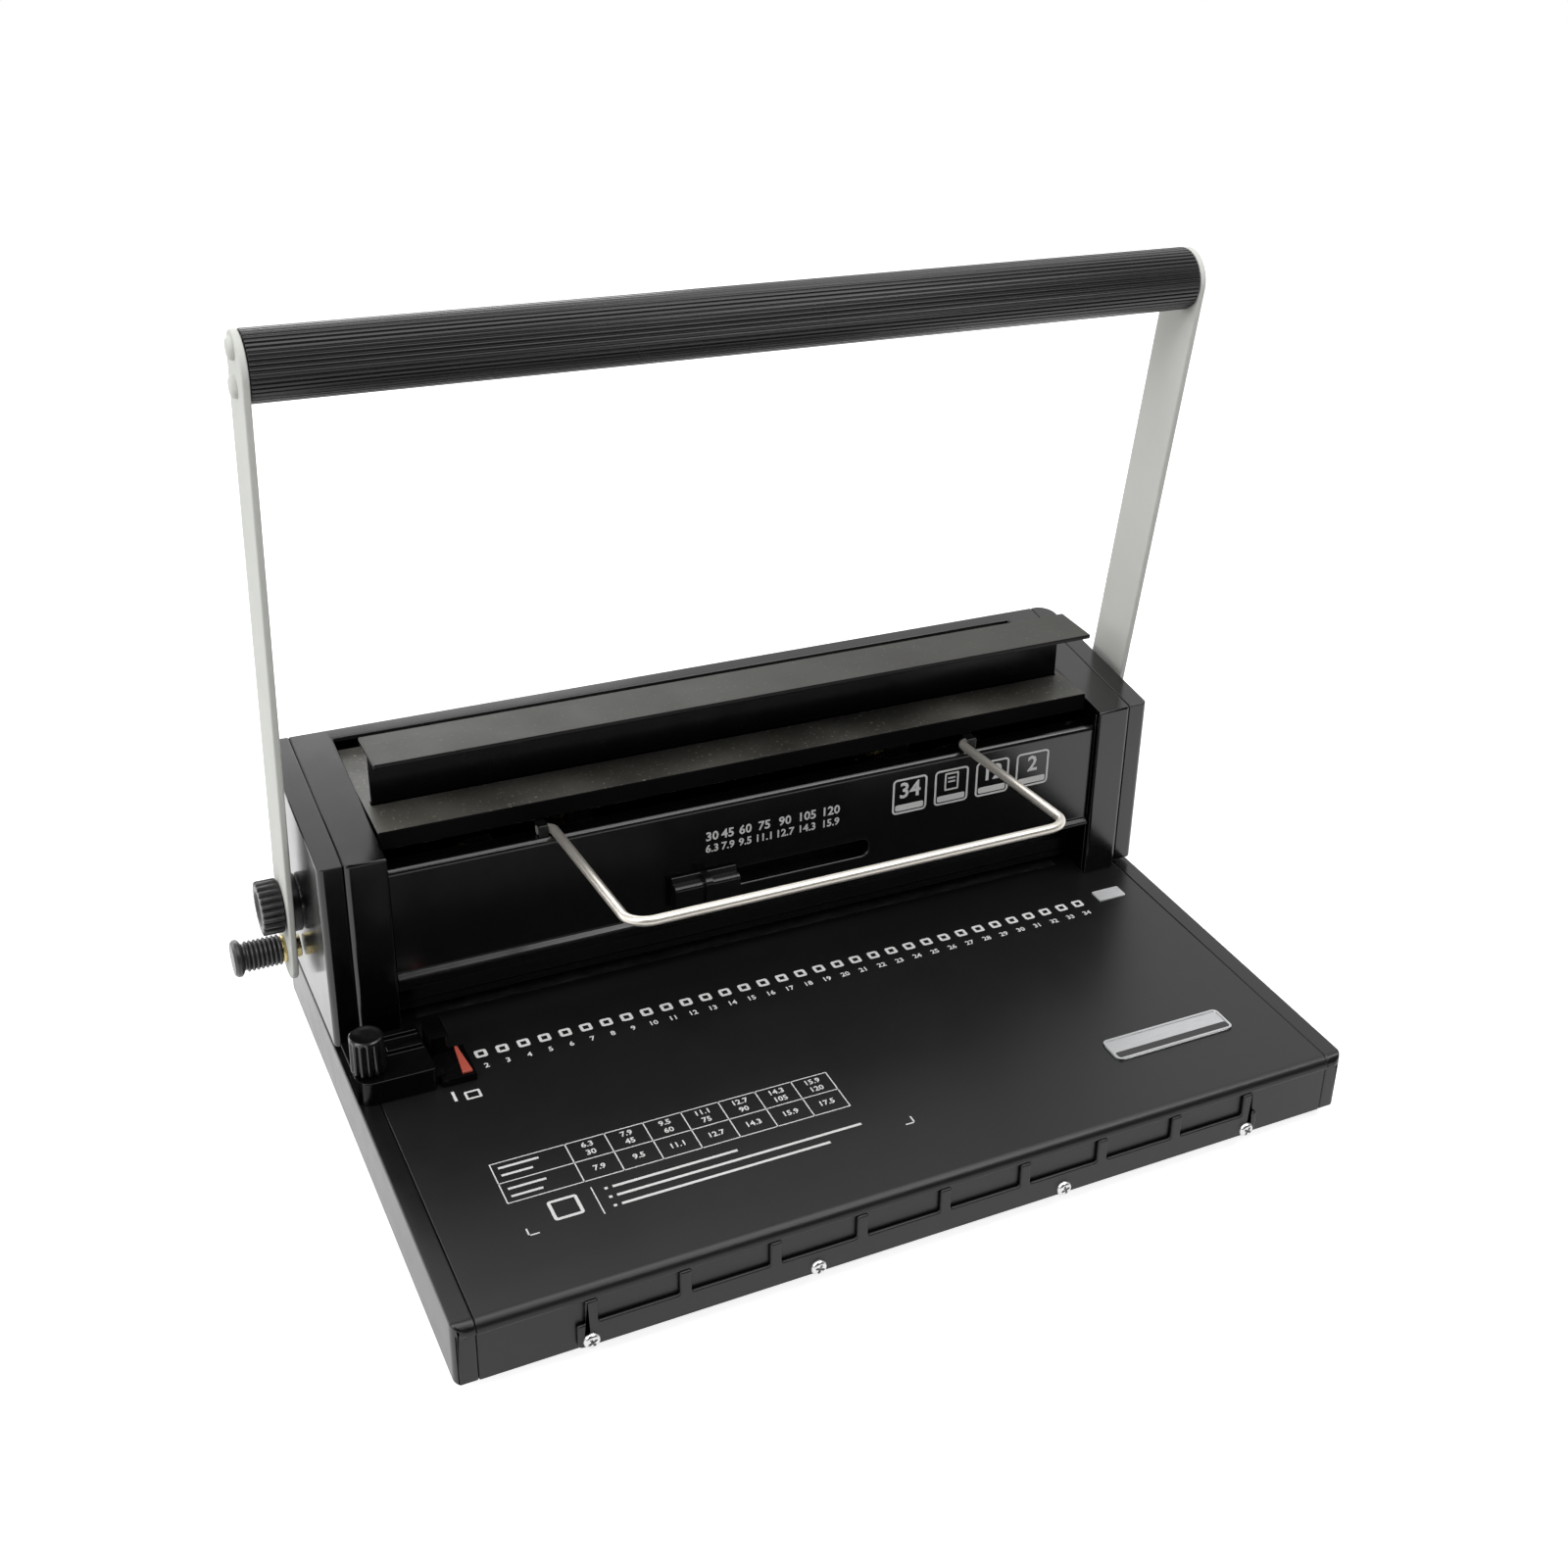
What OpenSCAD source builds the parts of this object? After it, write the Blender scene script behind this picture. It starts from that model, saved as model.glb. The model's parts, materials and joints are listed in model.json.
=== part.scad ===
// Hand-operated wire binding machine: punch, wire closer and lever on a flat base.
// Millimetres. X to the right, Y to the back, Z up, origin on the table under the middle of the base.

/* [Base] */
// Width of the base, left to right
base_w = 363; // [345:1:385]
// Depth of the base, front to back
base_d = 253; // [246:1:265]
// Height of the base from its lower edge to its top
base_h = 26; // [24:0.5:32]
// Thickness of each side rail
rail_t = 8; // [6:0.5:10]
// Radius of the deck's rolled front edge
edge_r = 4; // [2.5:0.5:6]
// Overhang of the rolled edge past the base's front wall
edge_over = 1.2; // [0.5:0.1:2]
// Plan radius of the base's corners
corner_r = 5; // [2:0.5:7]
// Thickness of the folded sheet
sheet = 2; // [1.6:0.1:2.4]
// Wall of the hollow end pieces
end_wall = 2.5; // [2:0.5:4]
// Thickness of the bottom plate
plate_t = 1.5; // [1:0.1:2]
// Height of the rubber feet
foot_h = 6; // [4:0.5:9]
// Radius of the rubber feet
foot_r = 9; // [7:0.5:12]
// Distance of each foot's centre from the base's edges
foot_inset = 32; // [24:1:45]

/* [Front trim] */
// Distance of the trim's ends from the base's ends
trim_inset = 41.5; // [20:0.5:60]
// Thickness of the trim
trim_t = 1.8; // [1:0.1:4]
// Height of the trim's lower edge above the base's lower edge
trim_lift = 1; // [0:0.5:2]
// Height of the windows' lower edge above the base's lower edge
trim_band_h = 11.3; // [10:0.1:14]
// Width of each upright rib
trim_rib = 4.5; // [3:0.5:8]
// Distance of the outer ribs from the trim's ends
trim_rib_inset = 3; // [1:0.5:6]
// Number of open windows between the ribs
trim_windows = 8; // [4:1:10]
// Distance of the outer trim screws from the trim's ends
trim_screw_inset = 4.7; // [4:0.1:12]
// Distance of the inner trim screws from the middle
trim_screw_inner = 51; // [30:1:80]

/* [Badge plate] */
// Width of the badge plate
badge_w = 56; // [40:1:70]
// Depth of the badge plate, front to back
badge_d = 14; // [8:0.5:18]
// Thickness of the badge plate
badge_t = 0.6; // [0.4:0.1:1]
// Corner radius of the badge plate
badge_r = 4; // [1:0.5:6]
// Distance of the badge plate from the base's right edge
badge_side = 31; // [15:1:50]
// Distance of the badge plate from the base's front edge
badge_front = 33; // [20:1:50]

/* [Head] */
// Distance from the base's back edge to the head's back
head_inset = 2; // [0:0.5:6]
// Depth of the head, front to back
head_d = 91; // [84:1:105]
// Height of the head's front above the deck
head_front_h = 82.5; // [80:0.5:84]
// Height of the head's back above the deck
head_back_h = 92.5; // [90:0.5:96]
// Thickness of each end cap
cap_t = 9.5; // [8:0.5:12]
// Width of each front post
post_w = 16; // [12:0.5:17]
// Gap under each end cap
cap_gap = 2.5; // [1:0.5:5]
// Radius of the head's top edges
head_r = 1; // [1:0.5:4]
// Plan radius of the end caps' front corners
cap_r = 2.5; // [1:0.5:4]
// Setback of the end caps behind the posts
cap_setback = 1.2; // [0:0.1:2]
// Plan radius of the posts' outer front corners
post_r = 2.2; // [0.5:0.1:3]
// Width of the top rail behind the jaws
top_rail = 7; // [5:0.5:9]
// Thickness of each side frame
frame_t = 2.5; // [2:0.1:4]

/* [Front panel] */
// Setback of the panel behind the posts
panel_recess = 3; // [1:0.5:5]
// Height of the panel's lip above the deck
lip_h = 75; // [72:0.5:77]
// Radius of the panel's rolled lip
lip_r = 2.5; // [2:0.1:4]
// Gap between the panel's lip and the lower jaw
lip_gap = 0.7; // [0.5:0.1:2]
// Height of the panel's lower bend above the deck
bend_h = 27.5; // [24:0.5:30]
// Distance that the panel's lower bend stands out from the panel
bend_out = 2.4; // [1.5:0.1:2.8]
// Length of the slider's slot
slot_len = 80; // [60:1:100]
// Height of the slider's slot
slot_h = 8; // [6:0.5:10]
// Height of the slot's middle above the deck
slot_up = 38.5; // [38:0.5:48]
// Distance of the slot's middle to the right of the machine's middle
slot_x = 6; // [-20:1:20]

/* [Punch] */
// Least distance from the outer punch pins to the side frames
row_end = 13; // [12.5:0.5:40]
// Distance between neighbouring punch pins
hole_pitch = 8.467; // [8:0.001:12.7]
// Side of each square pin
pin_side = 4; // [3:0.1:4.5]
// Height of the paper throat
throat = 5; // [4.5:0.1:6]
// Distance from the pins' line to the paper stop
paper_margin = 4.5; // [3.5:0.1:5.5]
// Thickness of the die plate and the punch guide plate
die_t = 3; // [2.5:0.1:4]
// Depth of the punch bar, front to back
bar_d = 10; // [9:0.5:11]
// Height of the punch bar
bar_h = 12; // [10:0.5:14]
// Diameter of the guide rods
rod_d = 5; // [4:0.5:5.5]
// Diameter of the spring wire
spring_wire = 1; // [0.8:0.1:1.2]
// Curls of each return spring
spring_curls = 6; // [4:1:7]

/* [Wire closer] */
// Distance from the head's front to the front of the jaws
jaw_back = 12.7; // [12:0.1:14]
// Depth of the jaws, front to back
jaw_d = 24; // [22:0.5:26]
// Distance of the upper jaw's web from the side frames
jaw_inset = 3; // [2:0.5:10]
// Overhang of the upper jaw's flange past its web
jaw_overhang = 2.5; // [0:0.1:2.6]
// Opening between the jaws at rest
jaw_open = 27; // [24:0.5:32]
// Height of the lower jaw above the deck
shelf_up = 86.5; // [85:0.5:89]

/* [Lever] */
// Distance from the web of the upper jaw to the shaft's axis
shaft_behind = 12.5; // [11.5:0.1:13]
// Height of the shaft's axis above the deck
shaft_up = 41.5; // [40:0.5:43]
// Diameter of the drive shaft
shaft_d = 12; // [10:0.5:13]
// Distance along the arm from the shaft to the grip
arm_len = 231.5; // [200:0.5:250]
// Forward lean of the arms at rest, degrees
arm_lean = 8.65; // [5:0.05:12]
// Width of each arm
arm_w = 25; // [22:0.5:30]
// Thickness of each arm
arm_t = 2.6; // [2.5:0.1:5]
// Gap between each end cap and its arm
arm_gap = 4; // [3:0.5:6]
// Diameter of the grip
grip_d = 25; // [23:0.5:28]
// Wall of the grip sleeve
grip_wall = 2.5; // [2:0.1:3.5]
// Number of flutes on the grip
grip_flutes = 44; // [24:2:60]
// Forward swing of the lever, degrees
lever_swing = 75; // [60:1:75]
// Module of the gears
gear_m = 1.5; // [1.4:0.05:1.55]
// Teeth on each punch pinion
punch_teeth = 12; // [12:1:13]
// Teeth on each jaw pinion
jaw_teeth = 18; // [17:1:18]
// Width of the gears and racks
gear_w = 10; // [8:0.5:14]
// Distance of the punch pinions from the machine's middle
punch_gear_x = 112; // [95:1:120]
// Distance of the jaw pinions from the machine's middle
jaw_gear_x = 72; // [40:1:80]

/* [Knobs and plungers] */
// Diameter of the clamp knobs
knob_d = 22; // [16:0.5:24]
// Thickness of the clamp knobs
knob_t = 8.5; // [6:0.5:12]
// Distance along the arm from the shaft to the plunger
plunger_drop = 23; // [21:0.5:28]
// Length of the plunger's knob
plunger_len = 18.5; // [15:0.5:25]
// Diameter of the plunger's end flange
plunger_d = 15; // [11:0.5:16]
// Diameter of the plunger's pin
plunger_pin_d = 5; // [4:0.5:6]
// Diameter of the thumb knob on the edge guide
thumb_d = 13; // [11:0.5:18]
// Height of the thumb knob
thumb_h = 16; // [12:0.5:20]

/* [Wire bail] */
// Diameter of the bail's wire
bail_d = 3.8; // [3:0.1:4]
// Distance between the bail's legs
bail_w = 181; // [150:1:220]
// Length of the bail's legs
bail_len = 90; // [60:1:110]
// Rise of the bail above level, degrees
bail_rise = 5.5; // [3:0.5:12]
// Radius of the bail's bends
bail_bend = 9; // [6:0.5:14]

/* [Edge guide] */
// Width of the guide block
guide_w = 29; // [26:0.5:34]
// Depth of the guide block, front to back
guide_d = 30; // [26:0.5:34]
// Height of the guide block
guide_h = 10; // [9:0.5:14]
// Distance from the head's front to the block's front
guide_ahead = 36; // [32:0.5:40]
// Width of the stop bar
stop_w = 12; // [10:0.5:13]
// Thickness of the stop bar
stop_t = 3.8; // [3:0.1:4.5]
// Height of the ridges on the guide block
ridge_h = 1.8; // [1:0.1:3]
// Width of the ridges on the guide block
ridge_w = 3.5; // [2:0.5:5]
// Height of the stop bar's upright end above its underside
stop_lug_h = 11; // [8:0.5:14]
// Width of the stop bar's upright end
stop_lug_w = 7; // [4:0.5:8]
// Reach of the stop bar past the block
stop_reach = 15; // [12:0.5:24]

/* [Chip tray] */
// Depth of the tray, front to back
tray_d = 84; // [70:1:90]
// Gap between the tray and the die plate
tray_gap = 1.2; // [0.6:0.1:4]
// Wall of the tray
tray_wall = 1.5; // [1.2:0.1:2.5]

/* [Hidden] */

$fn = 48;
arc_steps = 8;
fit = 0.1;
run_fit = 0.05;
slip = 0.3;
through = 1;

// Base
half_w = base_w / 2;
front_y = -base_d / 2;
back_y = base_d / 2;
deck_z = foot_h + base_h;
deck_half = half_w - rail_t;
wall_y = front_y + edge_over;
edge_under = 0.8;
edge_drop = edge_r + edge_under + 0.2;

// Head, across the machine
cap_x = half_w - cap_t;
post_x = cap_x - post_w;
frame_x = post_x;
frame_out = frame_x + frame_t;
span = frame_x - fit;

// Head, front to back and up
head_y1 = back_y - head_inset;
head_y0 = head_y1 - head_d;
head_z0 = deck_z + head_front_h;
head_z1 = deck_z + head_back_h;
top_slope = (head_z1 - head_z0) / head_d;
panel_y = head_y0 + panel_recess;
lip_z = deck_z + lip_h;
bend_z = deck_z + bend_h;
slot_z = deck_z + slot_up;
slot_round = slot_h * 0.4;

// Jaws and shaft
jaw_y0 = head_y0 + jaw_back;
jaw_y1 = jaw_y0 + jaw_d;
lip_d = jaw_y0 - lip_gap - panel_y;
web_half = span - jaw_inset;
jaw_half = web_half + jaw_overhang;
web_y = jaw_y1 - sheet;
shelf_z = deck_z + shelf_up;
jaw_z = shelf_z + jaw_open;
shaft_y = jaw_y1 + shaft_behind;
shaft_z = deck_z + shaft_up;
shaft_r = shaft_d / 2;

// Gears
pressure = 25;
addendum = 0.8 * gear_m;
dedendum = 1.1 * gear_m;
backlash = 0.25;
tooth_step = PI * gear_m;
punch_r = gear_m * punch_teeth / 2;
jaw_r = gear_m * jaw_teeth / 2;
swing_rad = lever_swing * PI / 180;
punch_stroke = punch_r * swing_rad;
jaw_stroke = jaw_r * swing_rad;
rack_back = 4.8;
jaw_rack_y = shaft_y - jaw_r - dedendum - rack_back;
jaw_tip_r = jaw_r + addendum;
web_over_gear = sqrt(max(0, pow(jaw_tip_r, 2) - pow(shaft_y - jaw_y1, 2)));
web_z = shaft_z + jaw_stroke + web_over_gear + 2;

// Punch
bar_gap = 2;
punch_y = jaw_rack_y - bar_gap - bar_d / 2;
hole_side = pin_side + 2 * fit;
hole_count = floor(2 * (span - row_end) / hole_pitch) + 1;
first_x = -hole_pitch * (hole_count - 1) / 2;
die_y0 = punch_y - 10;
die_y1 = punch_y + 14;
die_half = -first_x + 8;
die_lap = 4;
guide_z = deck_z + throat;
guide_top = guide_z + die_t;
spring_room = 9;
bar_z = guide_top + punch_stroke + spring_room;
pin_tip = guide_z + 1;
clamp_t = 3;
pin_head = pin_side + 1.2;
rod_x = (-first_x + pin_side / 2 + span) / 2;
bar_half = span - 1;
rod_r = rod_d / 2;

// Lever
arm_x = half_w + arm_gap;
arm_out = arm_x + arm_t;
grip_r = grip_d / 2;
core_r = grip_r - grip_wall - run_fit;
bush_r = 4.5;
bush_lip = 1.5;
stud_r = 3;
stud_len = 12;
pin_r = plunger_pin_d / 2;
collar_r = 11.5;

// Bail
bail_r = bail_d / 2;
bail_x = bail_w / 2;
bail_y = panel_y + lip_d / 2;
bail_z = lip_z + bail_r + slip;
saddle_w = 4;
saddle_wall = 1;

// Edge guide
guide_x0 = -half_w + 0.5;
guide_x1 = guide_x0 + guide_w;
guide_y0 = head_y0 - guide_ahead;
stop_y = guide_y0 + 9;
thumb_x = guide_x0 + 6;

// Chip tray
runner_h = 2;
tray_z = foot_h + plate_t + runner_h + slip;
tray_h = deck_z - sheet - die_t - tray_gap - tray_z;
tray_half = die_half - 2;
tray_y1 = back_y;
tray_y0 = tray_y1 - tray_d;

// Unit vector
function unit(v) = v / norm(v);

// Points of one rounded corner at p, between the neighbours a and b
function fillet(a, p, b, r) =
    let (u = unit(a - p), v = unit(b - p), half = acos(u * v) / 2)
    let (c = p + unit(u + v) * r / sin(half))
    let (s = p + u * r / tan(half) - c, e = p + v * r / tan(half) - c)
    let (a0 = atan2(s[1], s[0]), swing = atan2(e[1], e[0]) - a0)
    let (turn = swing > 180 ? swing - 360 : (swing < -180 ? swing + 360 : swing))
    r <= 0 ? [p] : [for (i = [0:arc_steps]) c + r * [cos(a0 + turn * i / arc_steps), sin(a0 + turn * i / arc_steps)]];

// Polygon with a radius at each of its points
function rounded(pts, radii) =
    let (n = len(pts))
    [for (i = [0:n - 1]) each fillet(pts[(i + n - 1) % n], pts[i], pts[(i + 1) % n], radii[i])];

// Rectangle from (x0, y0) to (x1, y1) with one radius
function round_rect(x0, y0, x1, y1, r) = rounded([[x0, y0], [x1, y0], [x1, y1], [x0, y1]], [r, r, r, r]);

// Outline of a bar with round ends between two heights, about the local Z axis
function bar_outline(z0, z1, r) =
    concat([for (i = [0:2 * arc_steps]) [r * cos(180 * i / (2 * arc_steps)), z1 + r * sin(180 * i / (2 * arc_steps))]],
           [for (i = [0:2 * arc_steps]) [-r * cos(180 * i / (2 * arc_steps)), z0 - r * sin(180 * i / (2 * arc_steps))]]);

// Height of the head's sloping top at a given depth
function head_top(y) = head_z0 + (y - head_y0) * top_slope;

// Involute gear teeth
function involute(a) = tan(a) - a * PI / 180;
function tooth_half(r, radius) =
    let (base = r * cos(pressure))
    let (a = radius > base ? acos(base / radius) : 0)
    (tooth_step / 4 - backlash / 2) / r + involute(pressure) - involute(a);
function gear_points(teeth) =
    let (r = gear_m * teeth / 2, root = r - dedendum, tip = r + addendum, base = max(r * cos(pressure), root))
    let (steps = [for (i = [0:4]) base + (tip - base) * i / 4])
    let (radii = concat([root], steps))
    [for (k = [0:teeth - 1])
        let (mid = 180 + 360 * k / teeth)
        each concat(
            [for (i = [0:len(radii) - 1])
                let (a = mid - tooth_half(r, radii[i]) * 180 / PI) radii[i] * [cos(a), sin(a)]],
            [for (i = [len(radii) - 1:-1:0])
                let (a = mid + tooth_half(r, radii[i]) * 180 / PI) radii[i] * [cos(a), sin(a)]])];

// Profile in the YZ plane carried along X from x0 to x1
module along_x(x0, x1) {
    translate([x0, 0, 0])
        rotate([90, 0, 90])
            linear_extrude(x1 - x0)
                children();
}

// Block between two corners
module block(low, high) {
    translate(low)
        cube(high - low);
}

// Cylinder along X
module rod_x_axis(x0, x1, y, z, r) {
    translate([x0, y, z])
        rotate([0, 90, 0])
            cylinder(h = x1 - x0, r = r);
}

// Cylinder along Y
module rod_y_axis(x, y0, y1, z, r) {
    translate([x, y0, z])
        rotate([-90, 0, 0])
            cylinder(h = y1 - y0, r = r);
}

// The children and their mirror image across the machine
module both_sides() {
    children();
    mirror([1, 0, 0])
        children();
}

// Children placed on the lever: local origin on the shaft's axis, local Z along the arm
module on_lever() {
    translate([0, shaft_y, shaft_z])
        rotate([arm_lean, 0, 0])
            children();
}

// Screw with a domed head along +Z, its seat at the origin
module pan_screw(head_r, head_h, shank_r, shank_len) {
    cylinder(h = head_h * 0.6, r = head_r);
    translate([0, 0, head_h * 0.6])
        cylinder(h = head_h * 0.4, r1 = head_r, r2 = head_r * 0.65);
    translate([0, 0, -shank_len])
        cylinder(h = shank_len, r = shank_r);
}

// Round knob along +Z with flutes cut round its rim
module fluted_knob(r, h, flutes, flute_r) {
    difference() {
        union() {
            cylinder(h = h - 1, r = r);
            translate([0, 0, h - 1])
                cylinder(h = 1, r1 = r, r2 = r - 1);
        }
        for (i = [0:flutes - 1])
            rotate([0, 0, 360 * i / flutes])
                translate([r + flute_r * 0.45, 0, -through])
                    cylinder(h = h + 2 * through, r = flute_r, $fn = 16);
    }
}

// Base

// Outside of the base, with its rolled front edge
module deck_profile() {
    polygon(rounded(
        [[wall_y, foot_h], [back_y, foot_h], [back_y, deck_z], [front_y, deck_z], [front_y, deck_z - edge_drop],
         [wall_y, deck_z - edge_drop]],
        [0, 0, 0, edge_r, edge_under, 0]));
}

// Inside of the base
module deck_hollow() {
    polygon([[wall_y + sheet, foot_h - through], [back_y - sheet, foot_h - through], [back_y - sheet, deck_z - sheet],
             [wall_y + sheet, deck_z - sheet]]);
}

module base_deck() {
    color("#1c1c1d")
        difference() {
            along_x(-deck_half, deck_half)
                deck_profile();
            along_x(-deck_half - through, deck_half + through)
                deck_hollow();
            block([-die_half - fit, die_y0 - fit, deck_z - sheet - through],
                  [die_half + fit, die_y1 + fit, deck_z + through]);
            block([-tray_half - 1, back_y - sheet - through, foot_h - through],
                  [tray_half + 1, back_y + through, tray_z + tray_h + 1]);
            for (x = trim_screw_xs())
                rod_y_axis(x, front_y - through, wall_y + sheet + through, trim_screw_z(), trim_screw_r + fit);
        }
}

module side_rail() {
    color("#1c1c1d")
        difference() {
            intersection() {
                along_x(deck_half, half_w)
                    deck_profile();
                translate([0, 0, foot_h])
                    linear_extrude(base_h)
                        polygon(rounded(
                            [[deck_half, front_y], [half_w, front_y], [half_w, back_y], [deck_half, back_y]],
                            [0, corner_r, corner_r, 0]));
            }
            block([deck_half - through, front_y + corner_r + end_wall, foot_h + end_wall],
                  [half_w - end_wall, back_y - corner_r - end_wall, deck_z - end_wall]);
        }
}

module right_side_rail() {
    side_rail();
}

module left_side_rail() {
    mirror([1, 0, 0])
        side_rail();
}

module bottom_plate() {
    color("#2a2a2b")
        difference() {
            block([-deck_half + fit, wall_y + sheet + fit, foot_h],
                  [deck_half - fit, back_y - sheet - fit, foot_h + plate_t]);
            at_feet()
                translate([0, 0, foot_h - through])
                    cylinder(h = plate_t + 2 * through, r = foot_screw_r + fit);
        }
}

foot_screw_r = 2;
foot_screw_head = 4;

module at_feet() {
    for (x = [-1, 1], y = [-1, 1])
        translate([x * (half_w - foot_inset), y * (base_d / 2 - foot_inset), 0])
            children();
}

module rubber_feet() {
    color("#151515")
        at_feet()
            difference() {
                cylinder(h = foot_h, r1 = foot_r - 1, r2 = foot_r);
                translate([0, 0, -through])
                    cylinder(h = foot_h * 0.6 + through, r = foot_screw_head + 0.5);
                translate([0, 0, -through])
                    cylinder(h = foot_h + 2 * through, r = foot_screw_r + fit);
            }
}

module foot_screws() {
    color("silver")
        at_feet()
            translate([0, 0, foot_h * 0.6])
                rotate([180, 0, 0])
                    pan_screw(foot_screw_head, 1.6, foot_screw_r, foot_h * 0.4 + plate_t);
}

// Front trim

trim_w = base_w - 2 * trim_inset;
trim_screw_r = 1.6;
trim_screw_head = 3.1;
trim_screw_h = 1.6;
function trim_screw_xs() =
    [for (side = [-1, 1], x = [trim_screw_inner, trim_w / 2 - trim_screw_inset]) side * x];
function trim_screw_z() = foot_h + trim_band_h * 0.36;

// Trim seen from the front: a low band with ribs that stand up to the rolled edge
module trim_outline() {
    low = foot_h + trim_lift;
    band = foot_h + trim_band_h;
    top = deck_z - edge_drop;
    rib_half = trim_w / 2 - trim_rib_inset;
    rib_step = (2 * rib_half - trim_rib) / trim_windows;
    difference() {
        polygon(rounded(
            [[-trim_w / 2, low], [trim_w / 2, low], [trim_w / 2, band], [rib_half, band], [rib_half, top],
             [-rib_half, top], [-rib_half, band], [-trim_w / 2, band]],
            [2, 2, 1, 0.5, 0.5, 0.5, 0.5, 1]));
        for (i = [0:trim_windows - 1])
            translate([-rib_half + trim_rib + i * rib_step, 0])
                polygon(round_rect(0, band, rib_step - trim_rib, top + base_h, 0.8));
    }
}

module front_trim() {
    color("#1c1c1d")
        difference() {
            translate([0, wall_y, 0])
                rotate([90, 0, 0])
                    linear_extrude(trim_t)
                        trim_outline();
            for (x = trim_screw_xs())
                rod_y_axis(x, wall_y - trim_t - through, wall_y + through, trim_screw_z(), trim_screw_r + fit);
        }
}

module trim_screws() {
    color("silver")
        for (x = trim_screw_xs())
            translate([x, wall_y - trim_t, trim_screw_z()])
                rotate([90, 0, 0])
                    pan_screw(trim_screw_head, trim_screw_h, trim_screw_r, trim_t + sheet + 4);
}

module badge_plate() {
    color("#c9cacb")
        translate([half_w - badge_side - badge_w, front_y + badge_front, deck_z])
            linear_extrude(badge_t)
                polygon(round_rect(0, 0, badge_w, badge_d, badge_r));
}

// Chip tray

module chip_tray() {
    face_lap = 3;
    face_t = trim_t + trim_screw_h - edge_over;
    color("#202021")
        difference() {
            union() {
                block([-tray_half, tray_y0, tray_z], [tray_half, tray_y1, tray_z + tray_h]);
                block([-tray_half - face_lap, tray_y1, tray_z - 1],
                      [tray_half + face_lap, tray_y1 + face_t, tray_z + tray_h + 2]);
            }
            block([-tray_half + tray_wall, tray_y0 + tray_wall, tray_z + tray_wall],
                  [tray_half - tray_wall, tray_y1 - tray_wall, tray_z + tray_h + through]);
            rod_y_axis(0, tray_y1 - through - tray_wall, tray_y1 + face_t + through, tray_z + tray_h + 2, 12);
        }
}

module tray_runners() {
    color("#3a3a3b")
        both_sides()
            block([tray_half - 8, tray_y0 + 2, foot_h + plate_t],
                  [tray_half - 2, back_y - sheet - 1, foot_h + plate_t + runner_h]);
}

// Punch, fixed part

module square_holes(z0, z1, side) {
    for (i = [0:hole_count - 1])
        block([first_x + i * hole_pitch - side / 2, punch_y - side / 2, z0],
              [first_x + i * hole_pitch + side / 2, punch_y + side / 2, z1]);
}

module die_plate() {
    color("#8d8f91")
        difference() {
            union() {
                block([-die_half, die_y0, deck_z - die_t], [die_half, die_y1, deck_z]);
                block([-die_half - die_lap, die_y0 - die_lap, deck_z - sheet - die_t],
                      [die_half + die_lap, die_y1 + die_lap, deck_z - sheet]);
            }
            square_holes(deck_z - sheet - die_t - through, deck_z + through, hole_side);
        }
}

module punch_guide_plate() {
    color("#8d8f91")
        difference() {
            block([-span, die_y0, guide_z], [span, die_y1, guide_top]);
            square_holes(guide_z - through, guide_top + through, hole_side);
            both_sides()
                translate([rod_x, punch_y, guide_z - through])
                    cylinder(h = die_t + 2 * through, r = rod_r);
        }
}

module paper_stop_bar() {
    color("#6f7173")
        block([-span, punch_y + paper_margin, deck_z], [span, die_y1, guide_z]);
}

module side_frame() {
    y0 = panel_y;
    y1 = head_y1 - sheet;
    under = sheet * 1.2 + fit;
    color("#4a4b4d")
        difference() {
            along_x(frame_x, frame_out)
                polygon([[y0, deck_z], [y1, deck_z], [y1, head_top(y1) - under], [y0, head_top(y0) - under]]);
            rod_x_axis(frame_x - through, frame_out + through, shaft_y, shaft_z, bush_outer_r());
        }
}

module right_side_frame() {
    side_frame();
}

module left_side_frame() {
    mirror([1, 0, 0])
        side_frame();
}

// Head

module head_profile(inset, bottom) {
    y0 = head_y0 + inset;
    y1 = head_y1 - inset;
    drop = inset * 1.2;
    polygon(rounded(
        [[y0, bottom], [y1, bottom], [y1, head_top(y1) - drop], [y0, head_top(y0) - drop]],
        [0, 0, max(0.5, head_r - inset), max(0.5, head_r - inset)]));
}

module head_cover() {
    color("#1e1e1f")
        difference() {
            intersection() {
                along_x(-cap_x, cap_x)
                    head_profile(0, deck_z);
                translate([0, 0, deck_z])
                    linear_extrude(head_z1 - deck_z)
                        polygon(rounded(
                            [[-cap_x, head_y0], [cap_x, head_y0], [cap_x, head_y1], [-cap_x, head_y1]],
                            [post_r, post_r, 0, 0]));
            }
            along_x(-cap_x + sheet, cap_x - sheet)
                head_profile(sheet, deck_z - through);
            rod_x_axis(-cap_x - through, cap_x + through, shaft_y, shaft_z, shaft_r + 0.5);
            block([-post_x, head_y0 - through, deck_z - through],
                  [post_x, head_y1 - top_rail, head_z1 + through]);
            for (p = cover_screw_places())
                rod_y_axis(p[0], head_y1 - sheet - through, head_y1 + through, p[1], cover_screw_r + fit);
        }
}

cover_screw_r = 1.6;
cover_screw_low = 12;
cover_screw_high = 18;
function cover_screw_places() =
    [for (x = [-1, 1], z = [deck_z + cover_screw_low, head_z1 - cover_screw_high])
        [x * (frame_x + frame_t / 2), z]];

module cover_screws() {
    color("silver")
        for (p = cover_screw_places())
            translate([p[0], head_y1, p[1]])
                rotate([-90, 0, 0])
                    pan_screw(3.1, 1.6, cover_screw_r, sheet);
}

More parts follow.
